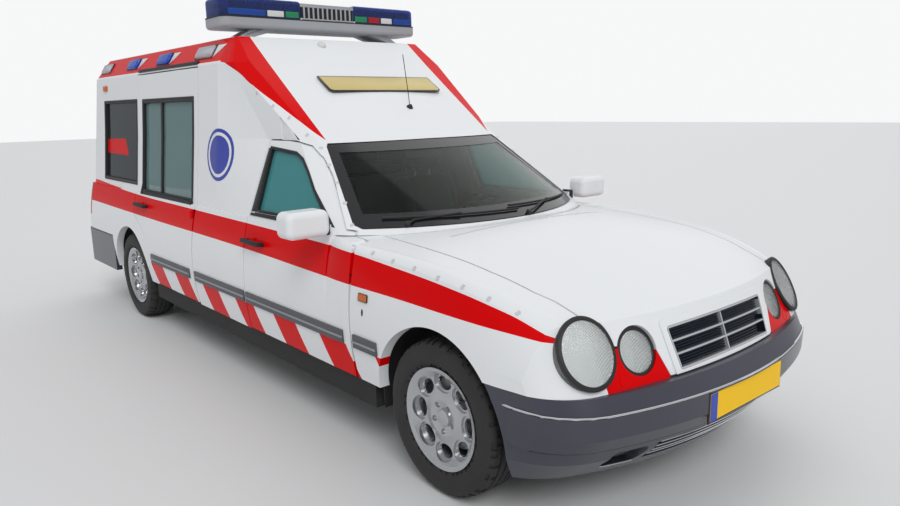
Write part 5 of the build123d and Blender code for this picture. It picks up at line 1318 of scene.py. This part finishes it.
MIRROR_OUT = -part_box("door_mirror_right")[0].y - 0.010
MIRROR_GLASS = rectangle((MIRROR_OUT, 0.971), (0.875, 1.073))
mirror_place = facing((at(-0.8075), 0, 0), BACKWARD, RIGHT)
mirror_glass = laid(sheet(MIRROR_GLASS, mirror_place, corner=0.024, cell=0), None, 0.003, bevel=0.0008)
both_sides(mirror_glass, "mirror_glass", "front_door_{}", mirror_silver)
mirror_rim = sheet(MIRROR_GLASS, mirror_place, grow=0.0045, corner=0.026, ring=0.004, cell=0)
both_sides(laid(mirror_rim, None, 0.0075), "mirror_rim", "front_door_{}", rubber)
foot_cover = block((0.075, 0.020, 0.055), (at(-0.812), -0.842, 0.984), 0.008, 3)
both_sides(foot_cover, "mirror_foot", "front_door_{}", gloss_black)

# %% [markdown]
# On the roof's sloping front sits a blank gold sign with a black border, a whip aerial
# and a small round lamp.

# %% Roof sign and aerial
SIGN_LOW, SIGN_HIGH, SIGN_AIM = (-1.5245, 1.5820), (-1.6585, 1.6820), (-1.59, 1.632)
SIGN_MIDDLE_Y, SIGN_HALF, SIGN_CUT, SIGN_BORDER = 0.050, 0.400, 0.02, 0.010
rise = Vector((SIGN_HIGH[0] - SIGN_LOW[0], 0, SIGN_HIGH[1] - SIGN_LOW[1]))
sign_out = Vector((rise.z, 0, -rise.x)).normalized()
sign_start = Vector((at(SIGN_AIM[0]), SIGN_MIDDLE_Y, SIGN_AIM[1])) + sign_out
sign_place = facing(*touch(sign_start, -sign_out), LEFT)
half_rise, cut_half = rise.length / 2, SIGN_HALF - SIGN_CUT
SIGN_SHAPE = [(-cut_half, -half_rise), (cut_half, -half_rise), (SIGN_HALF, SIGN_CUT - half_rise),
              (SIGN_HALF, half_rise), (-SIGN_HALF, half_rise), (-SIGN_HALF, SIGN_CUT - half_rise)]
sign_edge = laid(sheet(SIGN_SHAPE, sign_place, cell=0), None, 0.006)
settle(sign_edge, "sign_border", "root", gloss_black)
sign_face = laid(sheet(SIGN_SHAPE, sign_place, grow=-SIGN_BORDER, cell=0), None, 0.0075, bevel=0.0005)
settle(sign_face, "sign_face", "root", sign_gold)
AERIAL_PLACE, ROOF_LAMP_PLACE = (-1.361, 0.088), (-1.94, -0.13)
AERIAL_FOOT = [(0.020, -0.004), (0.019, 0.004), (0.012, 0.014), (0.006, 0.020), (0, 0.021)]
AERIAL_ROUTE, AERIAL_R = ((0, 0, 0.012), (-0.01, 0, 0.08), (-0.05, 0, 0.30)), 0.0022
ROOF_LAMP = [(0.026, -0.003), (0.026, 0.006), (0.022, 0.014), (0.012, 0.019), (0, 0.020)]
base, normal = touch((at(AERIAL_PLACE[0]), AERIAL_PLACE[1], ABOVE), DOWN)
settle(faced(turned(AERIAL_FOOT, 24), base, normal), "aerial_foot", "root", rubber)
settle(pipe([base + Vector(step) for step in AERIAL_ROUTE], AERIAL_R, 2), "aerial", "root", gloss_black)
base, normal = touch((at(ROOF_LAMP_PLACE[0]), ROOF_LAMP_PLACE[1], ABOVE), DOWN)
settle(faced(turned(ROOF_LAMP, 32), base, normal), "roof_lamp", "root", white_lens)
print("handles", len(HANDLES))

# %% [markdown]
# The tail: lamp panes with their coloured fields, a handle strip, a high brake lamp, a
# wiper and a sealed window on the tailgate.

# %% Tailgate and tail lamps
TAIL_FIELDS = (("reverse", 0.712, 0.765, white_lens), ("indicator", 0.772, 0.836, amber_lens))
RIB_LEVELS, RIB_HALF = (0.7685, 0.840, 0.888), 0.002
for name, low, high, finish in TAIL_FIELDS:
    pane = sheet(rectangle((0.700, low), (0.762, high)), FROM_BEHIND, corner=0.006, cell=0.03)
    both_sides(laid(pane, "tail_lamps", 0.004), f"tail_{name}", "root", finish)
for number, z in enumerate(RIB_LEVELS):
    rib = sheet(rectangle((0.698, z - RIB_HALF), (0.770, z + RIB_HALF)), FROM_BEHIND, cell=0.03)
    both_sides(laid(rib, "tail_lamps", 0.005), f"tail_rib_{number}", "root", gloss_black)
TAIL_WINDOW = [(-0.560, 1.060), (0.560, 1.060), (0.505, 1.600), (-0.505, 1.600)]
BRAKE_LAMP, PULL = rectangle((-0.17, 1.665), (0.17, 1.695)), rectangle((-0.30, 0.962), (0.30, 0.990))
tail_lip = laid(sheet(TAIL_WINDOW, FROM_BEHIND, grow=0.017, ring=0.016, cell=0.08), "tailgate", 0.004)
settle(tail_lip, "tail_window_lip", "tailgate_lid", rubber)
tail_channel = sheet(TAIL_WINDOW, FROM_BEHIND, grow=-0.002, ring=0.010, cell=0.08)
settle(laid(tail_channel, "tailgate_glass", 0.015, bevel=0), "tail_window_channel", "tailgate_lid", rubber)
brake_lamp = laid(sheet(BRAKE_LAMP, FROM_BEHIND, corner=0.008, cell=0.06), "tailgate", 0.012)
settle(brake_lamp, "high_brake_lamp", "tailgate_lid", red_lens)
pull = laid(sheet(PULL, FROM_BEHIND, corner=0.006, cell=0.06), "tailgate", 0.020, bevel=0.004)
settle(pull, "tailgate_pull", "tailgate_lid", chrome)
REAR_BLADE_START, REAR_BLADE_END, REAR_BLADE_OUT = (0.02, 1.085), (-0.40, 1.105), 0.010
met = traced((BEHIND, *REAR_BLADE_START), (BEHIND, *REAR_BLADE_END), 8, FORWARD)
sweep = [point + normal * REAR_BLADE_OUT for point, normal in met]
pivot, normal = touch((BEHIND, 0, 1.03), FORWARD)
rear_blade = pipe(sweep, BLADE_R)
rear_arm = pipe([pivot + normal * 0.02, pivot + normal * 0.026, sweep[4]], ARM_R)
rear_hub = disc(0.018, 0.026, pivot + normal * 0.008, normal, 0.003, 24)
settle(join([rear_blade, rear_arm, rear_hub]), "rear_wiper", "tailgate_lid", rubber)
print("tail dressed")

# %% [markdown]
# Seats are upholstery, so they are blown up rather than carved: a rounded block is
# remeshed evenly, a short cloth simulation with inner pressure swells it, and the sewn
# channels are pressed in afterwards. The woven cover is two crossed waves of bump.

# %% Seat covers
def woven(name, colour, pitch):
    """A cloth with a crossed weave of this pitch."""
    finish = surface(name, colour, 0.85, mottle=0.12, mottle_scale=14, Sheen_Weight=0.35,
                     Sheen_Roughness=0.5)
    crossed = finish.node_tree.nodes.new("ShaderNodeMath")
    crossed.operation = "MULTIPLY"
    for socket, direction in zip(crossed.inputs, ("DIAGONAL", "Z")):
        finish.node_tree.links.new(waves(finish, direction, pitch, 0.4), socket)
    bumped(finish, crossed.outputs[0], 0.6, 0.0015)
    return finish


SWELL_CAP, PAD_VOXEL, SWELL_FRAMES, CHANNEL_WIDTH = 0.014, 0.012, 20, 0.009
PAD_INSET, PAD_ROUND, PAD_PRESSURE = 0.016, 0.28, 4


def pad(size, channels=()):
    """A padded piece about the origin, with channels pressed in as (axis, place, depth)."""
    obj = block([length - PAD_INSET for length in size], (0, 0, 0), min(size) * PAD_ROUND, 5)
    alone(obj)
    modify(obj, "REMESH", mode="VOXEL", voxel_size=PAD_VOXEL)
    start = [vert.co.copy() for vert in obj.data.vertices]
    cloth = obj.modifiers.new("Cloth", "CLOTH")
    cloth.settings.use_pressure = True
    cloth.settings.uniform_pressure_force = PAD_PRESSURE
    cloth.settings.effector_weights.gravity = 0
    for number in range(1, SWELL_FRAMES + 1):
        bpy.context.scene.frame_set(number)
    alone(obj)
    bpy.ops.object.modifier_apply(modifier=cloth.name)
    for vert, before in zip(obj.data.vertices, start):
        move = vert.co - before
        if move.length > SWELL_CAP:
            vert.co = before + move.normalized() * SWELL_CAP
    bpy.context.scene.frame_set(1)
    obj.data.update()
    for axis, middle, depth in channels:
        for vert in obj.data.vertices:
            near = max(0, 1 - ((vert.co[axis] - middle) / CHANNEL_WIDTH / 2) ** 2)
            vert.co -= vert.normal * depth * near
    return modify(obj, "SUBSURF", levels=1, render_levels=1)


seat_cloth = woven("seat_cloth", (0.075, 0.072, 0.070), 0.004)
wing_cloth = woven("care_seat_cloth", (0.045, 0.075, 0.115), 0.004)
SEAT_Y = 0.380
BACK_LEAN, HEAD_LEAN = radians(18), radians(12)


def leaning(station, z, lean):
    """A seat block's place: its Z axis leans back by this angle."""
    return facing((at(station), -SEAT_Y, z), (-sin(lean), 0, cos(lean)), (cos(lean), 0, sin(lean)))


CUSHION_CHANNELS = [(1, -0.16, 0.008), (1, 0.16, 0.008), (0, 0.06, 0.006)]
BACKREST_CHANNELS = [(1, -0.15, 0.008), (1, 0.15, 0.008), (2, -0.12, 0.005), (2, 0.10, 0.005)]
SEAT_PADS = (
    ("cushion", (0.480, 0.500, 0.145), leaning(-1.330, 0.482, 0), CUSHION_CHANNELS),
    ("backrest", (0.118, 0.488, 0.638), leaning(-1.540, 0.800, BACK_LEAN), BACKREST_CHANNELS),
    ("headrest", (0.090, 0.268, 0.168), leaning(-1.655, 1.205, HEAD_LEAN), [(2, -0.05, 0.004)]),
)
for name, size, place, channels in SEAT_PADS:
    cushion, twin = both_sides(carried(pad(size, channels), place), f"seat_{name}", "root", seat_cloth, 60)
    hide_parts("front_seats")
POST_R, POST_LONG, POST_HALF, POST_LEAN = 0.0068, 0.118, 0.060, radians(14)
posts = []
for y in (-POST_HALF, POST_HALF):
    post = disc(POST_R, POST_LONG, (0, y, 0), UP, 0.001, 16)
    posts.append(carried(post, leaning(-1.640, 1.120, POST_LEAN)))
both_sides(join(posts), "headrest_posts", "root", chrome)
base = block((0.376, 0.376, 0.140), (at(-1.330), -SEAT_Y, 0.334), 0.018, 3)
rails = [block((0.42, 0.030, 0.018), (at(-1.330), -SEAT_Y + y, 0.2725), 0.004, 2) for y in (-0.16, 0.16)]
both_sides(join([base, *rails]), "seat_base", "root", cabin_plastic)

CARE_SEAT_Y = -0.315
CARE_CHANNELS = [(2, -0.1, 0.006), (2, 0.1, 0.006)]
CARE_PADS = (
    ("cushion", (0.445, 0.425, 0.112), (at(-3.025), CARE_SEAT_Y, 0.485), [(1, 0, 0.006)]),
    ("backrest", (0.082, 0.425, 0.635), (at(-3.290), CARE_SEAT_Y, 0.862), CARE_CHANNELS),
)
for name, size, place, channels in CARE_PADS:
    piece = carried(pad(size, channels), Matrix.Translation(place))
    settle(piece, f"care_seat_{name}", "root", wing_cloth, 60)
    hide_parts("attendant_seat")
care_base = block((0.25, 0.20, 0.165), (at(-3.025), -0.330, 0.3455), 0.02, 3)
settle(care_base, "care_seat_base", "root", cabin_plastic)
print("pads", len(SEAT_PADS) * 2 + len(CARE_PADS))

# %% [markdown]
# The cab: an instrument hood with two dials, air vents, a radio bay, levers and pedals,
# visors and a mirror. The doors get linings, arm rests and openers, laid from the inside.

# %% Cab fittings
DRIVER_Y = 0.380
hood = block((0.140, 0.340, 0.060), (at(-0.965), DRIVER_Y, 0.950), 0.024, 5)
settle(hood, "instrument_hood", "root", cabin_plastic)
dial_face = facing((at(-1.034), DRIVER_Y, 0.945), (-1, 0, 0.25), RIGHT)
instrument_face = carried(block((0.26, 0.060, 0.006), (0, 0, 0), 0.01, 3), dial_face)
settle(instrument_face, "instrument_face", "root", gloss_black)
DIAL, DIAL_HALF = [(0.027, 0), (0.027, 0.006), (0.024, 0.007), (0.023, 0.004), (0, 0.004)], 0.065
dials = []
for side in (-1, 1):
    dials.append(carried(turned(DIAL, 32), dial_face @ Matrix.Translation((side * DIAL_HALF, 0, 0.002))))
settle(join(dials), "instrument_dials", "root", white_lens)
VENTS, VENT_SLATS = (-0.600, -0.085, 0.085, 0.640), (-0.012, 0, 0.012)
VENT_SHAPE = rectangle((-0.055, -0.028), (0.055, 0.028))
vents = []
for y in VENTS:
    place = facing((at(-1.066), y, 0.855), (-1, 0, 0.1), RIGHT)
    edge = sheet(VENT_SHAPE, WORKBENCH, corner=0.010, ring=0.007, cell=0)
    vents.append(carried(laid(edge, None, 0.010), place))
    for slat in VENT_SLATS:
        vents.append(carried(block((0.096, 0.005, 0.008), (0, slat, 0.003), 0.001, 1), place))
settle(join(vents), "air_vents", "root", gloss_black)
radio = block((0.020, 0.180, 0.052), (at(-1.052), 0, 0.745), 0.004, 2)
settle(radio, "radio_bay", "root", gloss_black)
GEAR_KNOB = [(0.008, -0.02), (0.020, 0), (0.024, 0.018), (0.018, 0.034), (0, 0.040)]
gear_stem = pipe([(at(-0.95), 0, 0.715), (at(-0.955), 0, 0.80), (at(-0.97), 0, 0.855)], 0.009)
gear_knob = faced(turned(GEAR_KNOB, 24), (at(-0.97), 0, 0.850), (-0.15, 0, 1))
settle(join([gear_stem, gear_knob]), "gear_lever", "root", cabin_plastic)
PEDALS = ((0.30, 0.055), (0.39, 0.070), (0.47, 0.055))
pedals = []
for y, wide in PEDALS:
    place = facing((at(-0.830), y, 0.38), (0.35, 0, 1), FORWARD)
    pedals.append(carried(block((0.012, wide, 0.075), (0, 0, 0), 0.005, 2), place))
    pedals.append(pipe([(at(-0.825), y, 0.40), (at(-0.795), y, 0.52), (at(-0.80), y, 0.64)], 0.007))
settle(join(pedals), "pedals", "root", cast_iron)
stalks = []
for side in (-1, 1):
    stalk_end = (at(-1.045), DRIVER_Y + side * 0.165, 0.835)
    stalks.append(pipe([(at(-1.055), DRIVER_Y + side * 0.035, 0.815), stalk_end], 0.007))
settle(join(stalks), "column_stalks", "root", cabin_plastic)
COLUMN_LEAN, COLUMN_REACH = radians(25), 0.145
column_out = Vector((-cos(COLUMN_LEAN), 0, sin(COLUMN_LEAN)))
wheel_middle = Vector((at(-1.000), DRIVER_Y, 0.790)) + column_out * COLUMN_REACH
HUB_CAP = [(0.060, -0.012), (0.060, 0.004), (0.050, 0.011), (0, 0.014)]
hub_cap = faced(turned(HUB_CAP, 32), wheel_middle, column_out)
settle(hub_cap, "steering_pad", "steering", cabin_plastic)
visors = block((0.135, 0.400, 0.018), (at(-1.262), -0.265, 1.318), 0.008, 3, (0, radians(14), 0))
both_sides(visors, "sun_visor", "root", pale_lining)
room_mirror = join([block((0.018, 0.230, 0.060), (at(-1.145), 0.0, 1.262), 0.008, 3),
                    pipe([(at(-1.140), 0, 1.285), (at(-1.150), 0, 1.330)], 0.008)])
settle(room_mirror, "room_mirror", "root", gloss_black)

LININGS = (
    ("front_door", (0.680, 0.400), (1.500, 0.915), (1.00, 0.74)),
    ("rear_door", (2.430, 0.400), (3.020, 0.915), (2.70, 0.74)),
)
DOOR_INSIDE = -0.790
for name, low, high, (rest_station, rest_z) in LININGS:
    body = name + "_{}"
    lining = sheet(rectangle(low, high), FROM_INSIDE, corner=0.04, cell=0.08)
    both_sides(laid(lining, f"{name}_right", 0.014, bevel=0.005), f"{name}_lining", body, pale_lining)
    arm = block((0.30, 0.060, 0.050), (at(-rest_station), DOOR_INSIDE + 0.025, rest_z), 0.018, 4)
    both_sides(arm, f"{name}_armrest", body, cabin_plastic)
    opener_place = (at(0.22 - rest_station), DOOR_INSIDE + 0.010, rest_z + 0.09)
    opener = block((0.085, 0.014, 0.022), opener_place, 0.005, 3)
    both_sides(opener, f"{name}_opener", body, chrome)
print("cab fitted")

# %% [markdown]
# The load space: a floor mat, roller shutters, shelves and drawer fronts on the cabinet,
# a grab rail and two ceiling lamps.

# %% Load space
BAYS, SHELF_LEVELS = 3, (0.86, 1.12)
SLAT, DRAWER = (0.375, 0.008, 0.0175), (0.390, 0.014, 0.130)
SHUTTER_SLATS, SHUTTER_FIRST, SHUTTER_PITCH, SHUTTER_TOP, SLAT_PITCH = 13, -2.880, 0.400, 1.389, 0.0195
DRAWER_ROWS, DRAWER_FIRST, DRAWER_PITCH, DRAWER_LOW, DRAWER_RISE = 2, -2.895, 0.415, 0.375, 0.142
PULL_OVER, PULL_ROUTE = 0.030, ((-0.06, 0.458), (-0.05, 0.444), (0.05, 0.444), (0.06, 0.458))
RAIL_ROUTE, RAIL_Y = ((-4.0, 1.80), (-3.9, 1.765), (-2.3, 1.765), (-2.2, 1.80)), -0.30
CEILING_LAMPS = ((-4.10, -3.60), (-3.00, -2.50))
mat = sheet(rectangle((-4.380, -0.440), (-1.860, 0.440)), FROM_ABOVE, corner=0.02, cell=0.2)
laid(mat, "underbody", 0.005)
floor_mat = surface("floor_mat", (0.16, 0.17, 0.18), 0.7, mottle=0.25, mottle_scale=60, grain=0.5,
                    grain_scale=150)
settle(mat, "floor_mat", "root", floor_mat)
shelves = [block((1.19, 0.118, 0.016), (at(-2.480), 0.5385, z), 0.003, 2) for z in SHELF_LEVELS]
settle(join(shelves), "cabinet_shelves", "root", laminate)
shutters, drawers, pulls = [], [], []
for number in range(BAYS):
    middle = at(SHUTTER_FIRST + SHUTTER_PITCH * number)
    for row in range(SHUTTER_SLATS):
        shutters.append(block(SLAT, (middle, 0.482, SHUTTER_TOP - SLAT_PITCH * row), 0.003, 2))
    middle = at(DRAWER_FIRST + DRAWER_PITCH * number)
    for row in range(DRAWER_ROWS):
        z = DRAWER_LOW + DRAWER_RISE * row
        drawers.append(block(DRAWER, (middle, 0.4635, z), 0.005, 2))
        pulls.append(pipe([(middle + along, y, z + PULL_OVER) for along, y in PULL_ROUTE], 0.004))
settle(join(shutters), "cabinet_shutters", "root", grey_moulding)
settle(join(drawers), "drawer_fronts", "root", laminate)
settle(join(pulls), "drawer_pulls", "root", chrome)
settle(pipe([(at(station), RAIL_Y, z) for station, z in RAIL_ROUTE], 0.012), "grab_rail", "root", chrome)
for number, (rear, front) in enumerate(CEILING_LAMPS):
    lamp = sheet(rectangle((rear, -0.16), (front, 0)), FROM_BELOW, corner=0.02, cell=0.2)
    settle(laid(lamp, "roof", 0.030, bevel=0.008), f"ceiling_lamp_{number}", "root", white_lens)
hatch_place = facing((at(-1.7), 0, 0), FORWARD, LEFT)
hatch = sheet(rectangle((-0.330, 1.120), (0.330, 1.420)), hatch_place, grow=0.022, ring=0.021, cell=0.1)
settle(laid(hatch, "bulkhead", 0.006), "hatch_frame", "root", rubber)
print("load space fitted")

# %% [markdown]
# The last cell measures the bounds of the dressed vehicle.

# %% Measure and finish
low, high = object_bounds()
